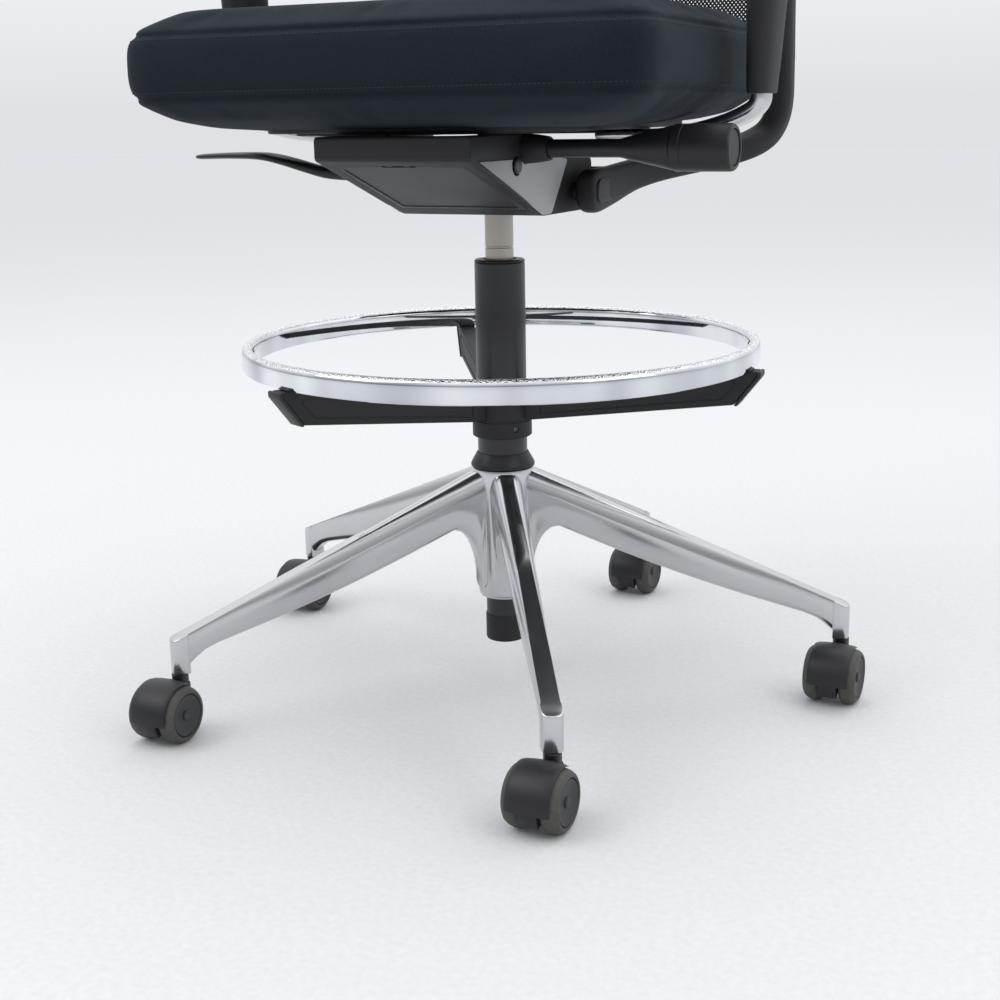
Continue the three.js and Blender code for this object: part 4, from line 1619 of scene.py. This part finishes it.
@dataclass
class Seat(Assembly):
    """The pan and the upholstered cushion: a domed panel, a band between two seams, a tucked underside."""

    half: float = 252
    half_rear: float = 228
    front: float = -263
    rear: float = 192
    front_corner: float = 44
    rear_corner: float = 92
    top_seam: float = 643
    low_seam: float = 591
    cushion: Cushion = field(default_factory=lambda: Cushion(5.5, 4.0, 7.0))

    def plan(self, inset: float, z: float) -> list[Point]:
        """The seat's outline drawn in by inset, at a height.

        Args:
            inset: how far the outline is drawn in.
            z: the height it lies at.

        Returns:
            The outline's points, in order.
        """
        least = 12
        front_r = max(self.front_corner - 0.3 * inset, least)
        rear_r = max(self.rear_corner - 0.3 * inset, least)
        corners = [
            (self.half - inset, self.front + inset, front_r),
            (self.half_rear - inset, self.rear - inset, rear_r),
            (inset - self.half_rear, self.rear - inset, rear_r),
            (inset - self.half, self.front + inset, front_r),
        ]
        outline = []
        flat = rounded(corners, 8)
        for a, b in zip(flat, flat[1:] + flat[:1]):
            run = math.hypot(b[0] - a[0], b[1] - a[1])
            count = 8 if run > 60 else 1
            outline += [
                (a[0] + (b[0] - a[0]) * k / count, a[1] + (b[1] - a[1]) * k / count, z)
                for k in range(count)
            ]
        return outline

    def pad(self) -> Object:
        """The cushion, swollen and then creased along its two seams.

        Returns:
            The finished cushion.
        """
        levels = [
            (110, 560), (62, 564.6), (27, 572.4), (9, 581), (2, 592), (0, 604), (0, 626), (0.5, 637),
            (4, 647), (13, 656), (36, 663.5), (82, 667)
        ]
        pad = loft("seat_pad", [self.plan(inset, z) for inset, z in levels])
        pocket = prism("pocket", rounded(block(-162.5, -176.5, 162.5, 104.5, 40)), 540, 568.6)
        fill_box(self.cushion.swell(pad), "seat_cushion")
        cut(pad, pocket)
        middle, half_depth, inner_part = -35, 227, 0.62
        seam, fold = 2.3, 3
        for vert in pad.data.vertices:
            x, y, z = vert.co / MM
            if max(abs(x) / self.half, abs(y - middle) / half_depth) < inner_part:
                continue
            inwards = Vector((-x, middle - y, 0)).normalized()
            over_top, over_low = z - self.top_seam, z - self.low_seam
            crease = 2.6 * swell_at(over_top, seam) + 2.2 * swell_at(over_low, seam)
            ridge = 1.1 * swell_at(over_low + 5.5, fold) + 0.8 * swell_at(over_top - 5, fold)
            vert.co += inwards * (crease - ridge) * MM
        return pad

    def stitches(
        self, pad: Object, z: float, name: str, pitch: float = 4.2, length: float = 2.9
    ) -> Object:
        """A row of short threads that lie on the cushion's skin at a height.

        Args:
            pad: the finished cushion.
            z: the height of the row.
            name: the new piece's name.
            pitch: from one stitch to the next.
            length: how much of each stitch shows.

        Returns:
            The row as one object.
        """
        tree = BVHTree.FromPolygons(
            [v.co for v in pad.data.vertices], [p.vertices for p in pad.data.polygons]
        )
        spots: list[Vector] = []
        outline = self.plan(0, z)
        for a, b in zip(outline, outline[1:] + outline[:1]):
            for k in range(8):
                out = (Vector(a).lerp(Vector(b), k / 8)) * MM
                target = Vector((out.x * 0.5, out.y * 0.5 - 0.017, out.z))
                way = (target - out).normalized()
                hit = tree.ray_cast(out - way * 0.03, way, 0.12)[0]
                if hit is not None:
                    spots.append(hit - way * 0.00025)
        runs = [0.0]
        for a, b in zip(spots, spots[1:] + spots[:1]):
            runs.append(runs[-1] + (b - a).length)
        count = int(runs[-1] / (pitch * MM))
        bead = sweep(
            "stitch",
            [
                (-length / 2, 0, 0, 0.1, 0.1), (-length * 0.32, 0, 0, 0.38, 0.38),
                (length * 0.32, 0, 0, 0.38, 0.38), (length / 2, 0, 0, 0.1, 0.1)
            ],
            (0, 0, 1), 6, 1
        )
        rows, i = [], 0
        for n in range(count):
            at = runs[-1] * n / count
            while runs[i + 1] < at:
                i += 1
            a, b = spots[i], spots[(i + 1) % len(spots)]
            t = (at - runs[i]) / max(runs[i + 1] - runs[i], 1e-9)
            along = (b - a).normalized() if (b - a).length > 1e-7 else Vector((1, 0, 0))
            turn = Vector((1, 0, 0)).rotation_difference(along).to_matrix().to_4x4()
            rows.append(Matrix.Translation(a.lerp(b, t)) @ turn)
        shape = bmesh.new()
        for row in rows:
            start = len(shape.verts)
            shape.from_mesh(bead.data)
            shape.verts.ensure_lookup_table()
            bmesh.ops.transform(shape, matrix=row, verts=shape.verts[start:])
        shape.to_mesh(bead.data)
        shape.free()
        bead.name = bead.data.name = name
        return bead

    def pan(self) -> Object:
        """The moulded pan under the cushion, with ribs, a rim and the pivot's two ears.

        Returns:
            The pan, in one piece.
        """
        plan = rounded(block(-162, -176, 162, 104, 40), 8)
        plate = soften(prism("pan", plan, 557.8, 568), 1.2, 2, 50)
        ribs = [(x, y) for x in (-140, -112, 112, 140) for y in (-110, -60, 40)]
        wells = []
        for x, y in ribs:
            wells.append(prism("well", rounded(block(x - 11, y - 20, x + 11, y + 20, 4), 3), 550, 560.6))
        cut(plate, merged("wells", wells))
        py, pz = -119, 528
        ear = rounded([(py - 12, 560), (py - 10, pz - 9, 6), (py + 10, pz - 9, 6), (py + 12, 560)])
        for x in (44, -50):
            combine(plate, prism("ear", ear, x, x + 6, Plane.YZ))
        for low, outline in self.rim():
            combine(plate, prism("rim", rounded(outline), low, 559))
        hole = placed(
            turned("hole", [(0, -80), (4.6, -80), (4.6, 80), (0, 80)], 32), ONTO_X, shift(0, py, pz)
        )
        return cut(plate, hole)

    @staticmethod
    def rim() -> list[tuple[float, list[Point]]]:
        """The stiffening rim under the pan: the height it reaches down to, and each stretch's plan.

        Returns:
            A height and an outline for each stretch.
        """
        side = block(104, -116, 122, -40, 3)
        rear = [
            (104, 0, 3), (122, 0, 3), (122, 96, 3), (-122, 96, 3), (-122, 0, 3), (-104, 0, 3),
            (-104, 84, 3), (104, 84, 3)
        ]
        other = [(-x, y, r) for x, y, r in reversed(side)]
        front = [(-122, -170, 8), (122, -170, 8), (122, -124, 3), (-122, -124, 3)]
        return [(556, side), (556, other), (552, rear), (556, front)]

    def build(self) -> None:
        """Makes the cushion, its seams and the pan."""
        pad = self.pad()
        upper = self.stitches(pad, self.top_seam - 3.6, "top_stitches")
        lower = self.stitches(pad, self.low_seam + 4.0, "low_stitches")
        self.add(pad, "seat", "seat_fabric", CLOTH, nodes=["seat_cushion"], angle=60)
        self.add(upper, "seat", "seat_fabric", STITCH)
        self.add(lower, "seat", "seat_fabric", STITCH)
        self.add(self.pan(), "seat", "black_plastic", BLACK, nodes=["seat_pan"])

    def dress(self) -> None:
        """Dresses the pieces."""
        super().dress()


@dataclass
class Armrests(Assembly):
    """Cast brackets, tapered posts, slides and soft pads, left and right."""

    x: float = 268
    y: float = -20
    post_bottom: float = 586
    post_top: float = 792
    pad_bottom: float = 848
    pad_top: float = 872
    cushion: Cushion = field(default_factory=lambda: Cushion(4.0, 4.0, 3.0))

    def bracket(self) -> Object:
        """The oval cast bar that runs out under the seat and turns up into the post.

        Returns:
            The closed bracket of the +X side.
        """
        x, y = self.x, self.y
        rows = [
            (118, y, 552.2, 4.4, 16.2), (119, y, 552.2, 5, 17), (145, y, 552.2, 5, 17),
            (172, y, 552.3, 5, 17), (200, y, 554.6, 6, 17), (220, y, 557.6, 6.9, 17)
        ]
        rows += [
            (240, y, 562.8, 7.6, 17), (254, y, 568.6, 7.8, 16.8), (263.4, y, 574.2, 7.8, 16.6),
            (267.4, y, 580, 7.7, 16.5), (x, y, 583.2, 7.6, 16.5),
            (x, y, self.post_bottom - 0.3, 7.6, 16.5)
        ]
        return sweep("bracket", flowing(rows, 2), (0, 1, 0), 32, 0.75)

    def post(self) -> Object:
        """The tapered oval sleeve with a rounded mouth.

        Returns:
            The closed sleeve of the +X side.
        """
        x, y, low, top = self.x, self.y, self.post_bottom, self.post_top
        rows = [
            (x, y, low, 10.3, 22.3), (x, y, low + 1.4, 11, 23), (x + 1, y, 612, 12.2, 26),
            (x + 3, y, 665, 14, 31), (x + 4.4, y, 715, 15, 33.2), (x + 5, y, 760, 15.5, 34)
        ]
        rows += [
            (x + 5, y, top - 4, 15.5, 34), (x + 5, y, top - 1.2, 15.3, 33.8), (x + 5, y, top, 14.4, 32.9)
        ]
        sleeve = sweep("post", rows, (0, 1, 0), 40, 0.75)
        bore = sweep(
            "bore", [(x + 4, y, 649, 10.2, 26.4), (x + 4, y, top + 5, 10.2, 26.4)], (0, 1, 0), 40, 0.75
        )
        return cut(sleeve, bore)

    def slide(self) -> Object:
        """The blade in the sleeve and the table under the pad.

        Returns:
            The blade and table of the +X side, in one piece.
        """
        x, y, seat = self.x, self.y, self.pad_bottom
        blade = sweep(
            "slide", [(x + 4, y, 688, 9.5, 25.7), (x + 4, y, seat - 6, 9.5, 25.7)], (0, 1, 0), 40, 0.75
        )
        table = rounded(block(x - 24, y - 62, x + 28, y + 56, 12))
        return combine(blade, soften(prism("table", table, seat - 9, seat), 1.6, 3, 50))

    def button(self) -> Object:
        """The height button on the outside of the sleeve, near its mouth.

        Returns:
            The closed button of the +X side.
        """
        x, y = self.x + 20.7, self.y
        plan = rounded(block(y - 9, 764, y + 9, 778, 4))
        return soften(prism("button", plan, x - 1.5, x + 1.2, Plane.YZ), 0.7, 3, 50)

    def pad(self) -> Object:
        """The soft pad: a long rounded block, crowned along and across.

        Returns:
            The finished pad of the +X side.
        """
        x, y, low, top = self.x, self.y - 18, self.pad_bottom + 0.6, self.pad_top - 1
        rings = []
        for inset, z in [
            (9, low), (4.5, low + 1.6), (2.6, low + 5), (2.4, low + 11), (3.6, top - 6.5),
            (6.5, top - 3.2), (13, top - 1.2), (24, top)
        ]:
            rings.append([(x + (43 - inset) * u, y + (122 - inset) * v, z) for u, v in section(64, 0.55)])
        return self.cushion.swell(loft("arm_rest_pad", rings))

    def build(self) -> None:
        """Makes the left armrest and mirrors it."""
        pad = self.pad()
        kinds = [
            (self.bracket(), "bracket", "seat", "polished_aluminium", CAST, "arm_bracket"),
            (self.post(), "post", "seat", "black_plastic", BLACK, "arm_post"),
            (self.slide(), "slide", "arm", "black_steel", STEEL, "arm_slide"),
            (self.button(), "button", "seat", "black_plastic", INSET, None),
            (pad, "rest", "arm", "pad", PAD, "arm_pad"),
        ]
        for piece, name, body, slot, finish, node in kinds:
            piece.name = piece.data.name = f"{name}_left"
            for side, made in (("left", piece), ("right", mirrored(piece, f"{name}_right"))):
                where = f"arm_{side}" if body == "arm" else body
                self.add(made, where, slot, finish, nodes=[f"{node}_{side}"] if node else [], angle=40)

    def dress(self) -> None:
        """Dresses the pieces."""
        super().dress()


@dataclass
class Backrest(Assembly):
    """The forked yoke, the frame that it carries and the net stretched in the frame."""

    foot: float = 622
    top: float = 1162
    half_foot: float = 216
    half_top: float = 203
    y: float = 223
    sweep_back: float = 84
    tube: float = 13
    pivot: Pair = (21, 499)

    def lean(self, z: float) -> float:
        """How far back the frame is at a height."""
        return self.y + self.sweep_back * max((z - self.foot) / (self.top - self.foot), 0) ** 1.7

    def width(self, z: float) -> float:
        """Half the frame's width at a height."""
        return self.half_foot + (
            self.half_top - self.half_foot
        ) * (z - self.foot) / (self.top - self.foot)

    def clear_half(self, z: float, high: float) -> float:
        """Half the clear width inside the frame at a height, drawn in at the rounded top corners."""
        rise = max((z - high + 24) / 24, 0)
        return self.width(z) - self.tube - 0.6 + (z - self.foot) / 300 - 27 * (
            1 - math.sqrt(max(1 - rise**2, 0))
        )

    def yoke_arm(self) -> Object:
        """One arm of the yoke, from its rounded front end to the foot of the frame.

        Returns:
            The closed arm of the +X side.
        """
        y, z = self.pivot
        rows = [
            (90, y - 18.6, z, 11, 7), (90, y - 17, z, 15, 9.4), (90, y - 12, z, 19, 10.4),
            (90.4, y, z, 21, 11), (91.6, 42, 500.8, 19.6, 11), (93.4, 62, 503.4, 18, 11)
        ]
        rows += [
            (96, 82, 507, 16.4, 11), (101, 103, 511, 14.8, 11), (112, 128, 515.6, 13.7, 11.4),
            (129, 153, 520.2, 13.2, 11.8), (150, 174, 525, 13, 12)
        ]
        rows += [
            (172, 191.6, 530.4, 12.7, 12.6), (190, 205, 537.2, 12.6, 13), (203, 214.6, 546, 12.5, 13),
            (210.4, 219.6, 557, 12.5, 13), (214.4, 222, 570, 12.5, 13), (216, 223, 586, 12.5, 13)
        ]
        rows += [(216, 223, 606, 12.5, 13), (216, 223, self.foot + 3, 12.4, 12.9)]
        return sweep("yoke", flowing(rows, 3), (1, 0, 0), 28, 0.6)

    def yoke(self) -> Object:
        """Both arms, the bridge between them and the pivot stubs.

        Returns:
            The yoke, in one piece.
        """
        arm = self.yoke_arm()
        stub = placed(
            turned("stub", [(0, 70.8), (7.8, 70.8), (8.4, 71.4), (8.4, 88), (0, 88)], 40), ONTO_X,
            shift(0, *self.pivot)
        )
        combine(arm, stub)
        other = mirrored(arm, "yoke_right")
        bridge = prism("bridge", rounded(block(92, 501, 106, 519, 4)), -97, 97, Plane.YZ)
        return combine(arm, bridge, other)

    def arm_cover(self) -> Object:
        """The lighter inset cover on the outside of an arm's front end.

        Returns:
            The closed cover of the +X side.
        """
        y, z = self.pivot
        plan = rounded(
            [(y - 12, z - 12, 10), (y + 34, z - 9, 5), (y + 34, z + 10, 5), (y - 12, z + 12, 10)], 6
        )
        return soften(prism("arm_cover", plan, 99.2, 102.2, Plane.YZ), 0.8, 3, 50)

    def frame_loop(self) -> Object:
        """The frame's tube, up one side, round the top and down the other.

        Returns:
            The closed tube.
        """
        heights = [self.foot + 10, 660, 700, 740, 780, 820, 860, 900, 940, 980, 1020, 1060, 1090]
        rail = self.top - 11
        corner = [
            (self.half_top, rail - 34), (self.half_top - 3.4, rail - 22), (self.half_top - 10, rail - 13),
            (self.half_top - 19, rail - 6.4)
        ]
        corner += [
            (self.half_top - 30, rail - 2), (self.half_top - 45, rail - 0.4), (self.half_top - 60, rail),
            (self.half_top - 130, rail)
        ]
        right = [(self.half_foot, self.foot)] + [(self.width(z), z) for z in heights] + corner
        path = right + [(-x, z) for x, z in reversed(right)]
        rows = []
        for x, z in path:
            size = self.tube - (z - self.foot) / 270
            rows.append((x, self.lean(z), z, size, size))
        loop = sweep("back_frame_tube", rows, (0, 1, 0), 28, 0.6)
        sill = sweep("sill", [(x, self.lean(634), 634, 9, 8) for x in (-205, 0, 205)], (0, 1, 0), 24, 0.6)
        return combine(loop, sill)

    def net(self) -> Object:
        """The net: a grid bent to the frame's curve, with a UV map in metres.

        Returns:
            The net, a single sheet.
        """
        low, high, across, along = 645.0, self.top - 24, 44, 72
        clear_selection()
        bpy.ops.mesh.primitive_grid_add(x_subdivisions=across, y_subdivisions=along, size=2)
        net = bpy.context.object
        net.name = net.data.name = "net"
        cloth = net.data.uv_layers.active
        cloth.name = "cloth"
        flat: list[Pair] = []
        for vert in net.data.vertices:
            u, v = vert.co.x, (vert.co.y + 1) / 2
            v = math.sin(math.pi / 2 * v) * 0.25 + v * 0.75
            z = low + (high - low) * v
            edge = self.clear_half(z, high)
            sag = 6 * (1 - u**2) * math.sin(math.pi * min(v * 1.05, 1))
            vert.co = Vector((edge * u, self.lean(z) + sag, z)) * MM
            flat.append((edge * u * MM, (z - low) * MM * 1.02))
        for loop in net.data.loops:
            cloth.data[loop.index].uv = flat[loop.vertex_index]
        net.data.update()
        return net

    def border(self) -> Object:
        """The narrow welt that clips the net into the frame.

        Returns:
            The closed welt.
        """
        low, high = 645.0, self.top - 24
        right = []
        heights = [low + (high - 24 - low) * k / 16 for k in range(16)]
        heights += [high - 24 + 24 * math.sin(math.pi / 2 * k / 8) for k in range(9)]
        for z in heights:
            right.append((self.clear_half(z, high) - 1.2, self.lean(z), z, 2.4, 2.2))
        left = [(-row[0], *row[1:]) for row in reversed(right)]
        return sweep("net_border", right + left, (0, 1, 0), 10, 0.8)

    def build(self) -> None:
        """Makes the yoke, frame, covers, net and welt."""
        self.add(self.yoke(), "back", "black_plastic", BLACK, nodes=["back_yoke"], angle=35)
        cover = self.arm_cover()
        cover.name = cover.data.name = "arm_cover_left"
        self.add(cover, "back", "black_plastic", INSET)
        self.add(mirrored(cover, "arm_cover_right"), "back", "black_plastic", INSET)
        self.add(self.frame_loop(), "back", "black_plastic", BLACK, nodes=["back_frame"], angle=35)
        self.add(self.border(), "back", "black_plastic", HANDLE)
        self.add(self.net(), "back", "back_mesh", NET, nodes=["back_mesh"], angle=60)

    def dress(self) -> None:
        """Dresses the pieces."""
        super().dress()


KEPT_NODES: Mapping[str, Finish] = {
    "piston_rod": CYLINDER,
    "thrust_bearing": ZINC,
    "retaining_clip": ZINC,
    "valve_button": HANDLE,
    "pivot_pin": STEEL,
    "tilt_spring": ZINC,
    **{f"caster_{k}_axle": ZINC for k in range(1, 6)},
}


def dress_kept_nodes() -> None:
    """Gives the inner pieces, which keep their own shapes, their finishes."""
    for name, finish in KEPT_NODES.items():
        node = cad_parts[name]
        node.data.materials.clear()
        node.data.materials.append(finish.material())


# ---------------------------------------------------------------- stage


@dataclass(frozen=True)
class Camera:
    """Where the camera stands and looks; angles are in degrees, lengths in metres."""

    round_chair: float = 26.0
    distance: float = 1.5181
    height: float = 0.5743
    yaw: float = -0.14
    pitch: float = -14.28
    roll: float = -1.0
    lens: float = 54.92

    def build(self) -> Object:
        """Adds the camera and makes it the scene's.

        Returns:
            The camera's object.
        """
        data = bpy.data.cameras.new("camera")
        data.lens, data.sensor_width = self.lens, 36
        camera = bpy.data.objects.new("camera", data)
        bpy.context.scene.collection.objects.link(camera)
        yaw, pitch, roll = (math.radians(value) for value in (self.yaw, self.pitch, self.roll))
        ahead = Vector(
            (math.sin(yaw) * math.cos(pitch), math.cos(yaw) * math.cos(pitch), math.sin(pitch))
        )
        level = Vector((math.cos(yaw), -math.sin(yaw), 0))
        rise = level.cross(ahead)
        right = level * math.cos(roll) + rise * math.sin(roll)
        up = rise * math.cos(roll) - level * math.sin(roll)
        stand = Matrix((right, up, -ahead)).transposed().to_4x4()
        stand.translation = (0, -self.distance, self.height)
        camera.matrix_world = spun(self.round_chair) @ stand
        bpy.context.scene.camera = camera
        return camera


@dataclass(frozen=True)
class Softbox:
    """A large, soft light."""

    name: str
    place: Point
    aim: Point
    size: float
    power: float

    def build(self) -> None:
        """Adds the light, turned to its aim."""
        data = bpy.data.lights.new(self.name, "AREA")
        data.shape, data.size, data.energy = "SQUARE", self.size, self.power
        light = bpy.data.objects.new(self.name, data)
        bpy.context.scene.collection.objects.link(light)
        light.location = self.place
        light.rotation_euler = (Vector(self.aim) - Vector(self.place)).to_track_quat("-Z", "Y").to_euler()


SOFTBOXES = (
    Softbox("key", (-2.2, -2.0, 3.2), (0, 0, 0.3), 2.4, 42),
    Softbox("fill", (3.0, -0.6, 2.4), (0, 0, 0.3), 2.0, 16),
    Softbox("top", (0.2, 0.8, 3.8), (0, 0, 0), 3.0, 26),
)


def build_stage() -> None:
    """Adds the floor, the even white surroundings and the lights."""
    clear_selection()
    bpy.ops.mesh.primitive_grid_add(x_subdivisions=8, y_subdivisions=8, size=40)
    floor = bpy.context.object
    floor.name = floor.data.name = "floor"
    floor.data.materials.append(FLOOR.material())
    world = bpy.data.worlds.new("studio")
    bpy.context.scene.world = world
    room = Graph(world, "Background")
    _, depth, height = room.axes(room.node("ShaderNodeTexCoord", None, None, "Generated"))
    glow = 0.46 + (height * 1.5).clamped() * 0.75 + (depth * 1.4).clamped() * 0.3
    glow = glow - (depth * -1.2).clamped() * 0.2
    backdrop = 0.77 + (height * 9).clamped() * 0.16
    seen = room.node("ShaderNodeLightPath", None, None, "Is Camera Ray")
    room.set(Color=(0.96, 0.975, 1, 1), Strength=glow * (1 - seen) + seen * backdrop)
    bpy.context.scene.view_settings.view_transform = "Standard"
    for softbox in SOFTBOXES:
        softbox.build()


def main() -> None:
    """Builds the stage, then each assembly in order."""
    logging.basicConfig(level=logging.INFO, format="%(message)s")
    Camera().build()
    build_stage()
    dress_kept_nodes()
    for assembly in (
        StarBase(), Casters(), Column(), FootRest(), Mechanism(), Seat(), Armrests(), Backrest()
    ):
        assembly.build()
        assembly.dress()


if __name__ == "__main__":
    main()
